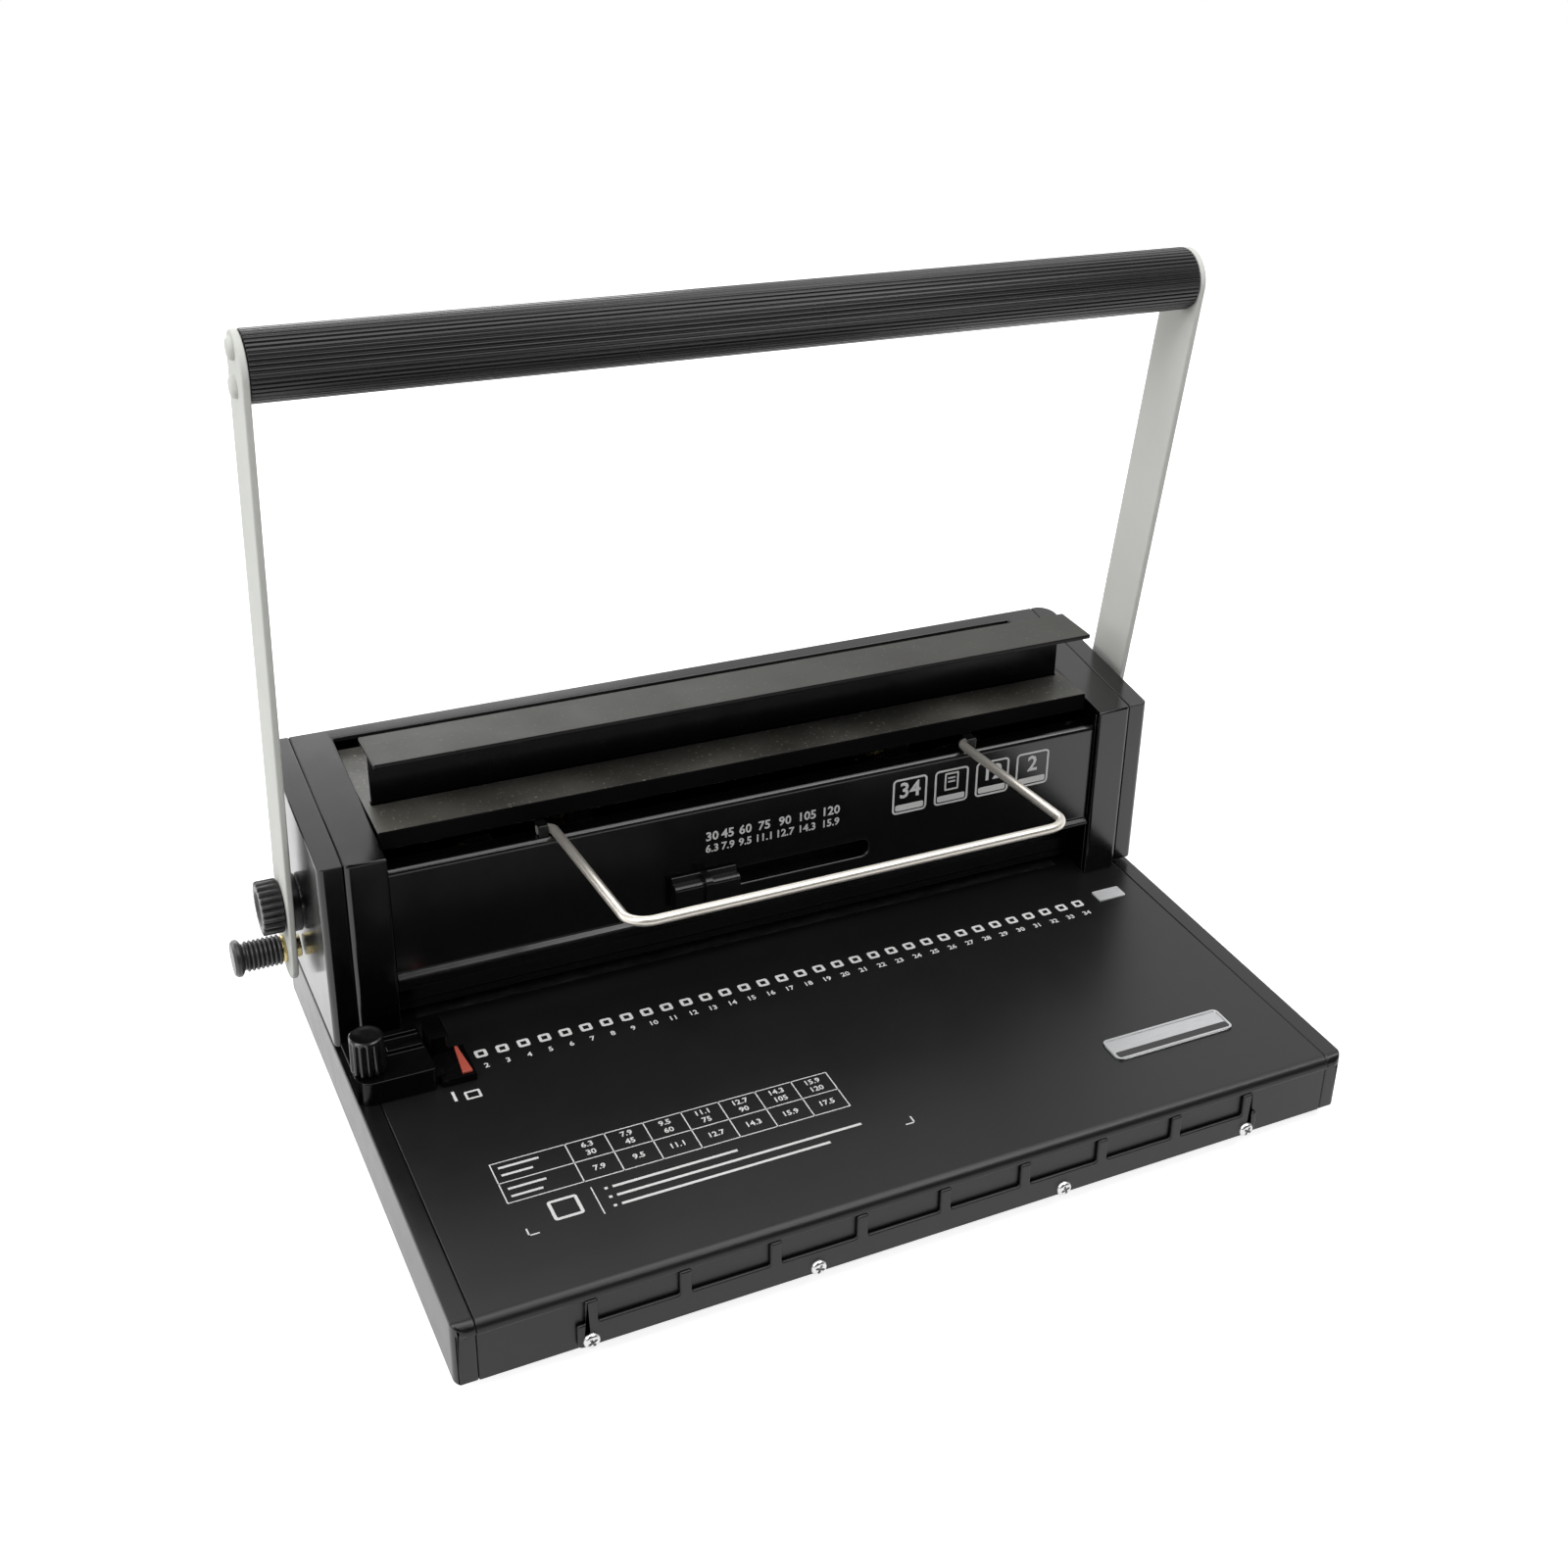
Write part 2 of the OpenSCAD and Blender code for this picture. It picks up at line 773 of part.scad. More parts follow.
module end_cap() {
    bottom = deck_z + cap_gap;
    front = head_y0 + cap_setback;
    back_r = cap_t - 1;
    color("#1e1e1f")
        difference() {
            intersection() {
                along_x(cap_x, half_w)
                    head_profile(0, bottom);
                translate([0, 0, bottom])
                    linear_extrude(head_z1 - bottom)
                        polygon(rounded(
                            [[cap_x, front], [half_w, front], [half_w, head_y1], [cap_x, head_y1]],
                            [0, cap_r, back_r, 0]));
            }
            block([cap_x - through, front + cap_r + end_wall, bottom + end_wall],
                  [half_w - end_wall, head_y1 - back_r - end_wall, head_z0 - end_wall]);
            rod_x_axis(cap_x - through, half_w + through, shaft_y, shaft_z, shaft_r + 0.5);
        }
}

module right_end_cap() {
    end_cap();
}

module left_end_cap() {
    mirror([1, 0, 0])
        end_cap();
}

module front_panel() {
    kick_y = die_y0;
    bend_top = bend_z + bend_out / 2;
    bend_low = bend_z - bend_out / 2;
    bend_y = panel_y - bend_out;
    kick_z = bend_low - (kick_y - bend_y);
    turn = sheet * tan(22.5);
    color("#19191a")
        difference() {
            along_x(-span, span)
                polygon(rounded(
                    [[panel_y + lip_d, lip_z], [panel_y, lip_z], [panel_y, bend_top], [bend_y, bend_low],
                     [kick_y, kick_z], [kick_y, guide_top], [kick_y + sheet, guide_top],
                     [kick_y + sheet, kick_z + turn], [bend_y + sheet * sqrt(2), bend_low],
                     [panel_y + sheet, bend_top - turn], [panel_y + sheet, lip_z - sheet],
                     [panel_y + lip_d, lip_z - sheet]],
                    [0, lip_r, 1.5, 1.2, 0, 0, 0, 0, 0, 0, max(0, lip_r - sheet), 0]));
            translate([slot_x, panel_y - through, slot_z])
                rotate([-90, 0, 0])
                    linear_extrude(sheet + 2 * through)
                        polygon(round_rect(-slot_len / 2, -slot_h / 2, slot_len / 2, slot_h / 2, slot_round));
        }
}

module lower_jaw_plate() {
    skirt = 8;
    color("#2b2a28")
        difference() {
            union() {
                block([-span, jaw_y0, shelf_z - sheet], [span, head_y1 - top_rail - 1, shelf_z]);
                block([-span, jaw_y0, shelf_z - skirt], [span, jaw_y0 + sheet, shelf_z]);
            }
            block([-web_half - slip, web_y - slip, shelf_z - sheet - through],
                  [web_half + slip, jaw_y1 + slip, shelf_z + through]);
        }
}

function bush_outer_r() = shaft_r + 3;

module shaft_bushes() {
    color("#b08d3f")
        both_sides()
            difference() {
                rod_x_axis(frame_x - 1.5, frame_out + 1.5, shaft_y, shaft_z, bush_outer_r());
                rod_x_axis(frame_x - 1.5 - through, frame_out + 1.5 + through, shaft_y, shaft_z, shaft_r + run_fit);
            }
}

module guide_rods() {
    color("silver")
        both_sides()
            translate([rod_x, punch_y, guide_z])
                cylinder(h = bar_z + bar_h + 6 - guide_z, r = rod_r);
}

// Return springs

spring_r = rod_r + 0.5 + spring_wire / 2;
spring_z0 = guide_top + spring_wire / 2 + fit;
spring_z1 = bar_z - spring_wire / 2 - fit;
spring_rings = 8 * spring_curls;
spring_sides = 6;
function spring_point(i) =
    let (a = 360 * i / 8) [spring_r * cos(a), spring_r * sin(a), spring_z0 + (spring_z1 - spring_z0) * i / spring_rings];
function spring_ring(i) =
    let (a = 360 * i / 8)
    [for (j = [0:spring_sides - 1])
        let (b = 360 * j / spring_sides)
        spring_point(i) + spring_wire / 2 * [cos(b) * cos(a), cos(b) * sin(a), sin(b)]];
spring_gap = min([for (i = [0:spring_rings - 6], j = [i + 6:spring_rings])
    norm(spring_point(i) - spring_point(j))]) - spring_wire;
echo(least_gap_between_spring_curls = spring_gap);

module spring_coil() {
    n = spring_sides;
    last = spring_rings * n;
    polyhedron(
        points = [for (i = [0:spring_rings]) each spring_ring(i)],
        faces = concat(
            [for (i = [0:spring_rings - 1], j = [0:n - 1])
                each [[i * n + j, (i + 1) * n + j, i * n + (j + 1) % n],
                      [i * n + (j + 1) % n, (i + 1) * n + j, (i + 1) * n + (j + 1) % n]]],
            [for (j = [1:n - 2]) [0, j, j + 1]],
            [for (j = [1:n - 2]) [last, last + j + 1, last + j]]));
}

module return_springs() {
    color("silver")
        for (x = [-rod_x, rod_x])
            translate([x, punch_y, 0])
                spring_coil();
}

// Punch, moving part

module punch_bar() {
    color("#77797b")
        difference() {
            block([-bar_half, punch_y - bar_d / 2, bar_z], [bar_half, punch_y + bar_d / 2, bar_z + bar_h]);
            both_sides()
                translate([rod_x, punch_y, bar_z - through])
                    cylinder(h = bar_h + 2 * through, r = rod_r + run_fit);
        }
}

module punch_pins() {
    color("#b9babc")
        for (i = [0:hole_count - 1])
            translate([first_x + i * hole_pitch, punch_y, 0]) {
                block([-pin_side / 2, -pin_side / 2, pin_tip], [pin_side / 2, pin_side / 2, bar_z]);
                block([-pin_head / 2, -pin_head / 2, bar_z - 1.2], [pin_head / 2, pin_head / 2, bar_z]);
            }
}

module pin_clamp_plate() {
    clamp_half = -first_x + pin_head / 2 + 0.8;
    low = bar_z - 1.2 - clamp_t;
    color("#5d5f61")
        difference() {
            block([-clamp_half, punch_y - bar_d / 2, low], [clamp_half, punch_y + bar_d / 2, bar_z]);
            square_holes(low - through, bar_z + through, hole_side);
            square_holes(bar_z - 1.2, bar_z + through, pin_head + 2 * fit);
        }
}

// Rack: body from y0 to the tooth roots, teeth towards +Y, centred on the shaft's height at rest
module rack(r, y0, z0, z1) {
    pitch_y = shaft_y - r;
    root_y = pitch_y - dedendum;
    tip_y = pitch_y + addendum;
    half = tooth_step / 4 - backlash / 2;
    block([-gear_w / 2, y0, z0], [gear_w / 2, root_y, z1]);
    for (k = [floor((z0 - shaft_z) / tooth_step):ceil((z1 - shaft_z) / tooth_step)]) {
        z = shaft_z + (k + 0.5) * tooth_step;
        if (z - tooth_step / 2 > z0 && z + tooth_step / 2 < z1)
            translate([-gear_w / 2, 0, 0])
                along_x(0, gear_w)
                    polygon([[root_y - 0.5, z - half - dedendum * tan(pressure)],
                             [tip_y, z - half + addendum * tan(pressure)],
                             [tip_y, z + half - addendum * tan(pressure)],
                             [root_y - 0.5, z + half + dedendum * tan(pressure)]]);
    }
}

module punch_racks() {
    low = min(bar_z, shaft_z - 2 * tooth_step);
    high = shaft_z + punch_stroke + 1.6 * tooth_step;
    front = punch_y + bar_d / 2;
    color("#6b6d6f")
        for (x = [-punch_gear_x, punch_gear_x])
            translate([x, 0, 0]) {
                rack(punch_r, shaft_y - punch_r - dedendum - rack_back, low, high);
                block([-gear_w / 2, front, bar_z],
                      [gear_w / 2, shaft_y - punch_r - dedendum - rack_back + 0.5, bar_z + bar_h]);
            }
}

// Wire closer

module upper_jaw() {
    color("#3b3a38")
        difference() {
            union() {
                block([-jaw_half, jaw_y0, jaw_z], [jaw_half, jaw_y1, jaw_z + sheet]);
                block([-web_half, web_y, web_z], [web_half, jaw_y1, jaw_z + sheet]);
            }
            for (p = jaw_screw_places())
                rod_y_axis(p[0], web_y - through, jaw_y1 + through, p[1], jaw_screw_r + fit);
        }
}

jaw_screw_r = 1.5;
jaw_lap = 12;
function jaw_screw_places() =
    [for (x = [-jaw_gear_x, jaw_gear_x], side = [-1, 1]) [x + side * gear_w * 0.25, web_z + jaw_lap / 2]];

module jaw_racks() {
    low = shaft_z - 2 * tooth_step;
    color("#6b6d6f")
        difference() {
            for (x = [-jaw_gear_x, jaw_gear_x])
                translate([x, 0, 0]) {
                    rack(jaw_r, jaw_rack_y, low, web_z + jaw_lap);
                    block([-gear_w / 2, jaw_rack_y, web_z], [gear_w / 2, web_y, web_z + jaw_lap]);
                }
            block([-span, web_y, web_z - fit], [span, jaw_y1 + through, jaw_z]);
            for (p = jaw_screw_places())
                rod_y_axis(p[0], jaw_rack_y - through, jaw_y1 + through, p[1], jaw_screw_r + fit);
        }
}

module jaw_rack_screws() {
    color("silver")
        for (p = jaw_screw_places())
            translate([p[0], jaw_y1, p[1]])
                rotate([-90, 0, 0])
                    pan_screw(2.3, 1.4, jaw_screw_r, sheet + rack_back);
}

// Lever

module drive_shaft() {
    color("silver")
        difference() {
            rod_x_axis(-arm_out, arm_out, shaft_y, shaft_z, shaft_r);
            both_sides()
                rod_x_axis(arm_out - stud_len - 1, arm_out + through, shaft_y, shaft_z, stud_r + run_fit);
        }
}

module pinions(teeth, places) {
    for (x = places)
        difference() {
            translate([0, shaft_y, shaft_z])
                along_x(x - gear_w / 2, x + gear_w / 2)
                    polygon(gear_points(teeth));
            rod_x_axis(x - gear_w, x + gear_w, shaft_y, shaft_z, shaft_r);
        }
}

module punch_pinions() {
    color("#8a6f3a")
        pinions(punch_teeth, [-punch_gear_x, punch_gear_x]);
}

module jaw_pinions() {
    color("#8a6f3a")
        pinions(jaw_teeth, [-jaw_gear_x, jaw_gear_x]);
}

module arm_collar() {
    color("#262627")
        difference() {
            rod_x_axis(half_w + 0.5, arm_x, shaft_y, shaft_z, collar_r);
            rod_x_axis(half_w, arm_x + through, shaft_y, shaft_z, shaft_r);
        }
}

module right_arm_collar() {
    arm_collar();
}

module left_arm_collar() {
    mirror([1, 0, 0])
        arm_collar();
}

grip_screw_r = 1.6;
grip_screw_len = 12;
grip_screw_step = core_r * 0.7;

module arm() {
    color("#dfe1dc")
        on_lever()
            difference() {
                along_x(arm_x, arm_out)
                    polygon(bar_outline(-plunger_drop, arm_len, arm_w / 2));
                rod_x_axis(arm_x - through, arm_out + through, 0, 0, shaft_r);
                rod_x_axis(arm_x - through, arm_out + through, 0, -plunger_drop, bush_r);
                for (side = [-1, 1])
                    rod_x_axis(arm_x - through, arm_out + through, 0, arm_len + side * grip_screw_step,
                               grip_screw_r + fit);
            }
}

module right_arm() {
    arm();
}

module left_arm() {
    mirror([1, 0, 0])
        arm();
}

module grip_core() {
    color("#3a3a3b")
        on_lever()
            difference() {
                rod_x_axis(-arm_x, arm_x, 0, arm_len, core_r);
                both_sides()
                    for (side = [-1, 1])
                        rod_x_axis(arm_x - grip_screw_len - 2, arm_x + through, 0, arm_len + side * grip_screw_step,
                                   grip_screw_r + fit);
            }
}

module grip_sleeve() {
    flute_depth = 0.3;
    sleeve_half = arm_x - slip;
    color("#171718")
        on_lever()
            difference() {
                translate([0, 0, arm_len])
                    along_x(-sleeve_half, sleeve_half)
                        polygon([for (i = [0:grip_flutes - 1], j = [0:3])
                            let (a = 360 * (i + j / 4) / grip_flutes, r = grip_r - (j > 1 ? flute_depth : 0))
                            r * [cos(a), sin(a)]]);
                rod_x_axis(-sleeve_half - through, sleeve_half + through, 0, arm_len, core_r + run_fit);
            }
}

module grip_screws() {
    color("#e6e7e3")
        on_lever()
            both_sides()
                for (side = [-1, 1])
                    translate([arm_out, 0, arm_len + side * grip_screw_step])
                        rotate([0, 90, 0])
                            pan_screw(4, 2, grip_screw_r, arm_t + grip_screw_len);
}

module plunger_bushes() {
    color("#c8a63c")
        on_lever()
            both_sides()
                difference() {
                    union() {
                        rod_x_axis(half_w + 0.8, arm_out + bush_lip, 0, -plunger_drop, bush_r);
                        rod_x_axis(arm_out, arm_out + bush_lip, 0, -plunger_drop, bush_r + 1);
                    }
                    rod_x_axis(half_w, arm_out + bush_lip + through, 0, -plunger_drop, pin_r + run_fit);
                }
}

module plunger() {
    x0 = arm_out + bush_lip + slip;
    flange = 4;
    ring_count = 8;
    ring_step = (plunger_len - flange) / ring_count;
    body_r = plunger_d / 2 - 2.3;
    color("#1d1d1e")
        on_lever() {
            rod_x_axis(half_w + 1, x0 + through, 0, -plunger_drop, pin_r);
            rod_x_axis(x0, x0 + plunger_len - flange, 0, -plunger_drop, body_r);
            for (i = [0:ring_count - 1])
                rod_x_axis(x0 + i * ring_step, x0 + (i + 0.55) * ring_step, 0, -plunger_drop, body_r + 0.6);
            rod_x_axis(x0 + plunger_len - flange, x0 + plunger_len, 0, -plunger_drop, plunger_d / 2);
        }
}

module right_plunger() {
    plunger();
}

module left_plunger() {
    mirror([1, 0, 0])
        plunger();
}

module clamp_knob() {
    color("#1d1d1e")
        on_lever() {
            translate([arm_out + slip, 0, 0])
                rotate([0, 90, 0])
                    fluted_knob(knob_d / 2, knob_t, 22, 1.2);
            rod_x_axis(arm_out - stud_len, arm_out + slip + through, 0, 0, stud_r);
        }
}

module right_clamp_knob() {
    clamp_knob();
}

module left_clamp_knob() {
    mirror([1, 0, 0])
        clamp_knob();
}

// Wire bail

module bail_saddles() {
    color("#1a1a1b")
        both_sides()
            difference() {
                block([bail_x + bail_r + slip, bail_y - bail_r - saddle_wall, lip_z],
                      [bail_x + bail_r + slip + saddle_w, bail_y + bail_r + saddle_wall,
                       bail_z + bail_r + saddle_wall]);
                rod_x_axis(bail_x, bail_x + bail_r + saddle_w + through, bail_y, bail_z, bail_r + run_fit);
            }
}

// One bend of the bail: a quarter of a ring in the XY plane, from the local -X side round to the local +Y side
module wire_bend(r, wire_r) {
    rotate_extrude(angle = 90)
        translate([r, 0])
            circle(r = wire_r);
}

module wire_bail() {
    hook = bail_r + slip + saddle_w;
    color("#c9c6bf")
        translate([0, bail_y, bail_z])
            rotate([-bail_rise, 0, 0]) {
                both_sides() {
                    rod_x_axis(bail_x - bail_r, bail_x + hook, 0, 0, bail_r);
                    rod_y_axis(bail_x, -bail_len + bail_bend, 0, 0, bail_r);
                    translate([bail_x - bail_bend, -bail_len + bail_bend, 0])
                        rotate([0, 0, -90])
                            wire_bend(bail_bend, bail_r);
                }
                rod_x_axis(-bail_x + bail_bend, bail_x - bail_bend, -bail_len, 0, bail_r);
            }
}

// Size slider

slider_neck = 8;
slider_x = slot_x - slot_len / 2 + slider_neck / 2 + slip;
slider_out = 6.5;
slider_w = 28;
slider_up = 6.8;
slider_down = 9.5;

module size_slider() {
    color("#161617")
        translate([slider_x, 0, slot_z]) {
            along_x(-slider_w / 2, slider_w / 2)
                polygon(rounded(
                    [[panel_y - slip, slider_up], [panel_y - 1.5, slider_up], [panel_y - 2.3, slider_up - 2.2],
                     [panel_y - slider_out, slider_up - 2], [panel_y - slider_out, -slider_down],
                     [panel_y - 3.5, -slider_down], [panel_y - slip, -slider_down + 3.5]],
                    [0, 0.4, 0, 2, 1, 0.5, 0]));
            along_x(-1.5, 1.5)
                polygon(rounded(
                    [[panel_y - slip, slider_up], [panel_y - slider_out - 2, slider_up],
                     [panel_y - slider_out - 2, -slider_down], [panel_y - 3.5, -slider_down],
                     [panel_y - slip, -slider_down + 3.5]],
                    [0, 2.5, 1, 0.5, 0]));
            translate([0, panel_y - 1, 0])
                rotate([-90, 0, 0])
                    linear_extrude(sheet + slip + 1)
                        polygon(round_rect(-slider_neck / 2, -slot_h / 2 + slip, slider_neck / 2, slot_h / 2 - slip,
                                           slot_round));
        }
}

module slider_clip() {
    color("#2c2c2d")
        translate([slider_x, panel_y + sheet + slip, slot_z])
            block([-slider_neck, 0, -slot_h / 2 - 3], [slider_neck, sheet, slot_h / 2 + 3]);
}

// Edge guide

module guide_block() {
    color("#161617")
        difference() {
            union() {
                translate([0, 0, deck_z])
                    linear_extrude(guide_h)
                        polygon(rounded(
                            [[guide_x0, guide_y0], [guide_x1, guide_y0], [guide_x1, guide_y0 + guide_d],
                             [guide_x0, guide_y0 + guide_d]],
                            [6, 1.5, 1.5, 1.5]));
                for (y = [stop_y + stop_w / 2, guide_y0 + guide_d - ridge_w - 2])
                    block([thumb_x + thumb_d / 2 + 2, y, deck_z + guide_h - 1],
                          [guide_x1 - 1, y + ridge_w, deck_z + guide_h + ridge_h]);
            }
            block([guide_x0 - through, stop_y - stop_w / 2 - slip, deck_z - through],
                  [guide_x1 + through, stop_y + stop_w / 2 + slip, deck_z + stop_t + 2 * slip]);
            translate([thumb_x, stop_y, deck_z])
                cylinder(h = guide_h + through, r = stud_r + run_fit);
        }
}

module guide_stop_bar() {
    color("#1b1b1c")
        translate([0, 0, deck_z + slip]) {
            block([guide_x0, stop_y - stop_w / 2, 0], [guide_x1 + 4, stop_y + stop_w / 2, stop_t]);
            block([guide_x1 + 2, guide_y0, 0], [guide_x1 + stop_reach, pointer_tip_y + 1.5, stop_t - 0.8]);
            translate([guide_x1 + 2, stop_y + stop_w / 2 + 1.5, 0])
                linear_extrude(stop_lug_h)
                    polygon(round_rect(0, 0, stop_lug_w, guide_y0 + guide_d - stop_y - stop_w / 2 - 1, 1.5));
        }
}

pointer_foot_y = guide_y0 + 1;
pointer_tip_y = pointer_foot_y + 17;

module guide_pointer() {
    pointer_x = guide_x1 + stop_reach - 3.2;
    color("#c83a2a")
        translate([0, 0, deck_z + slip + stop_t - 0.8])
            linear_extrude(1.2)
                polygon([[pointer_x - 2, pointer_foot_y], [pointer_x + 2, pointer_foot_y],
                         [pointer_x + 0.6, pointer_tip_y], [pointer_x - 0.6, pointer_tip_y]]);
}

module thumb_knob() {
    color("#1a1a1b")
        translate([thumb_x, stop_y, deck_z]) {
            translate([0, 0, guide_h + slip])
                fluted_knob(thumb_d / 2, thumb_h, 14, 1.2);
            translate([0, 0, stop_t + 2 * slip])
                cylinder(h = guide_h - stop_t + through, r = stud_r);
        }
}

base_deck();
left_side_rail();
right_side_rail();
bottom_plate();
rubber_feet();
foot_screws();
front_trim();
trim_screws();
badge_plate();
chip_tray();
tray_runners();
die_plate();
punch_guide_plate();
paper_stop_bar();
left_side_frame();
right_side_frame();
head_cover();
cover_screws();
left_end_cap();
right_end_cap();
front_panel();
lower_jaw_plate();
shaft_bushes();
guide_rods();
return_springs();
punch_bar();
punch_pins();
pin_clamp_plate();
punch_racks();
upper_jaw();
jaw_racks();
jaw_rack_screws();
drive_shaft();
punch_pinions();
jaw_pinions();
left_arm_collar();
right_arm_collar();
left_arm();
right_arm();
grip_core();
grip_sleeve();
grip_screws();
plunger_bushes();
left_plunger();
right_plunger();
left_clamp_knob();
right_clamp_knob();
bail_saddles();
wire_bail();
size_slider();
slider_clip();
guide_block();
guide_stop_bar();
guide_pointer();
thumb_knob();
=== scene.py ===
"""Looks of the wire binding machine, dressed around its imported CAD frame.

Metres, apart from what is said to be in millimetres. X to the right, Y to the back, Z up, origin on the table
under the middle of the base.
"""
import json
import math

import bmesh
import bpy
from mathutils import Matrix, Vector


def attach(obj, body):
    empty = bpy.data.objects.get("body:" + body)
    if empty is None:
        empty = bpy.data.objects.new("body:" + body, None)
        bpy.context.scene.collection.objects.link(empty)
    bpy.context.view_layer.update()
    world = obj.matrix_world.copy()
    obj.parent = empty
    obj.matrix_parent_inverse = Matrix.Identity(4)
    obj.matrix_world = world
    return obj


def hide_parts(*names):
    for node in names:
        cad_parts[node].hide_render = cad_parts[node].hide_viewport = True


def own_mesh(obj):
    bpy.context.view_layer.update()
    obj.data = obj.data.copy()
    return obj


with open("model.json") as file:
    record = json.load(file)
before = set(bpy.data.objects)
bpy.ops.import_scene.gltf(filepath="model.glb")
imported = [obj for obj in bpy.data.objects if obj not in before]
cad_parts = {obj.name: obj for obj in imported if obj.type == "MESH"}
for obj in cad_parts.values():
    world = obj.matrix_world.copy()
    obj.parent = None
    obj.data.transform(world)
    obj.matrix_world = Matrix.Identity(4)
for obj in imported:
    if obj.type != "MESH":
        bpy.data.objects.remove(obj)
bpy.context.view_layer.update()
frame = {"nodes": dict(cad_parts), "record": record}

MM = 0.001
NODES = frame["nodes"]
BODIES = frame["record"]["behaviour"]["bodies"]
BODY_OF = {node: body for body, members in BODIES.items() for node in members}
SLOT_OF = {part["node"]: part["material_slot"] for part in frame["record"]["subparts"]}

# Edges sharper than the crease count as edges, faces flatter than flat to each other as one face
CREASE = math.radians(32)
FLAT = math.radians(0.4)
WELD = 0.001 * MM

# Camera, fitted to the photograph
PHOTO_SIDE = 1600
CAMERA_AT = Vector((-0.28910, -0.61802, 0.51581))
CAMERA_YAW = math.radians(29.60)
CAMERA_PITCH = math.radians(27.55)
CAMERA_ROLL = math.radians(-3.49)
FOCAL_PX = 2049.4
AXIS_PX = (970.6, 737.4)
SENSOR_MM = 36.0
CLIP_NEAR = 0.01
CLIP_FAR = 20


def place_camera():
    """Camera at the photograph's viewing angle, framed as the photograph is."""
    forward = Vector((math.sin(CAMERA_YAW) * math.cos(CAMERA_PITCH),
                      math.cos(CAMERA_YAW) * math.cos(CAMERA_PITCH),
                      -math.sin(CAMERA_PITCH)))
    level = forward.cross(Vector((0, 0, 1))).normalized()
    drop = forward.cross(level)
    right = math.cos(CAMERA_ROLL) * level + math.sin(CAMERA_ROLL) * drop
    down = math.cos(CAMERA_ROLL) * drop - math.sin(CAMERA_ROLL) * level
    data = bpy.data.cameras.new("photo_camera")
    data.sensor_fit = "HORIZONTAL"
    data.sensor_width = SENSOR_MM
    data.lens = FOCAL_PX / PHOTO_SIDE * SENSOR_MM
    data.shift_x = 0.5 - AXIS_PX[0] / PHOTO_SIDE
    data.shift_y = AXIS_PX[1] / PHOTO_SIDE - 0.5
    data.clip_start = CLIP_NEAR
    data.clip_end = CLIP_FAR
    camera = bpy.data.objects.new("photo_camera", data)
    turn = Matrix((right, -down, -forward)).transposed().to_4x4()
    camera.matrix_world = Matrix.Translation(CAMERA_AT) @ turn
    bpy.context.scene.collection.objects.link(camera)
    bpy.context.scene.camera = camera


# Materials

# Size of the clouds in a coat's colour, and of those in its gloss as a share of it
CLOUD = 60 * MM
GLOSS_SHARE = 0.2
# How dark the streaks in a metal are
STREAK = 0.86
# Paper dust: size of its patches, specks and gloss, and the noise levels between which a speck fades in
FILM_SIZE = 45 * MM
SPECK_SIZE = 1.6 * MM
DUST_GLOSS_SIZE = 20 * MM
DUST_GRAIN = 0.6 * MM
DUST_DEPTH = 0.008 * MM
SPECK_LEVELS = (0.62, 0.74)


def new_material(name, color, roughness, metallic=0.0, specular=0.5):
    """Principled material; returns it with its node tree and shader."""
    material = bpy.data.materials.new(name)
    material.use_nodes = True
    tree = material.node_tree
    shader = tree.nodes["Principled BSDF"]
    shader.inputs["Base Color"].default_value = (*color, 1)
    shader.inputs["Roughness"].default_value = roughness
    shader.inputs["Metallic"].default_value = metallic
    shader.inputs["Specular IOR Level"].default_value = specular
    return material, tree, shader


def noise(tree, size, detail=3.0, stretch=(1, 1, 1)):
    """Noise texture in object space with cells of about the given size in metres."""
    place = tree.nodes.new("ShaderNodeTexCoord")
    scale = tree.nodes.new("ShaderNodeMapping")
    scale.inputs["Scale"].default_value = stretch
    texture = tree.nodes.new("ShaderNodeTexNoise")
    texture.inputs["Scale"].default_value = 1 / size
    texture.inputs["Detail"].default_value = detail
    tree.links.new(place.outputs["Object"], scale.inputs["Vector"])
    tree.links.new(scale.outputs["Vector"], texture.inputs["Vector"])
    return texture.outputs["Fac"]


def spread(tree, source, low, high, start=0.3, end=0.7):
    """Maps a source from the range start to end onto the range low to high."""
    node = tree.nodes.new("ShaderNodeMapRange")
    node.inputs["From Min"].default_value = start
    node.inputs["From Max"].default_value = end
    node.inputs["To Min"].default_value = low
    node.inputs["To Max"].default_value = high
    tree.links.new(source, node.inputs["Value"])
    return node.outputs["Result"]


def blend_colors(tree, share, first, second):
    """Colour that goes from first to second with share; first is a colour or a socket."""
    node = tree.nodes.new("ShaderNodeMix")
    node.data_type = "RGBA"
    if isinstance(first, tuple):
        node.inputs["A"].default_value = (*first, 1)
    else:
        tree.links.new(first, node.inputs["A"])
    node.inputs["B"].default_value = (*second, 1)
    tree.links.new(share, node.inputs["Factor"])
    return node.outputs["Result"]


def add_bump(tree, shader, source, strength, depth):
    """Bump of a given depth in metres."""
    node = tree.nodes.new("ShaderNodeBump")
    node.inputs["Strength"].default_value = strength
    node.inputs["Distance"].default_value = depth
    tree.links.new(source, node.inputs["Height"])
    tree.links.new(node.outputs["Normal"], shader.inputs["Normal"])


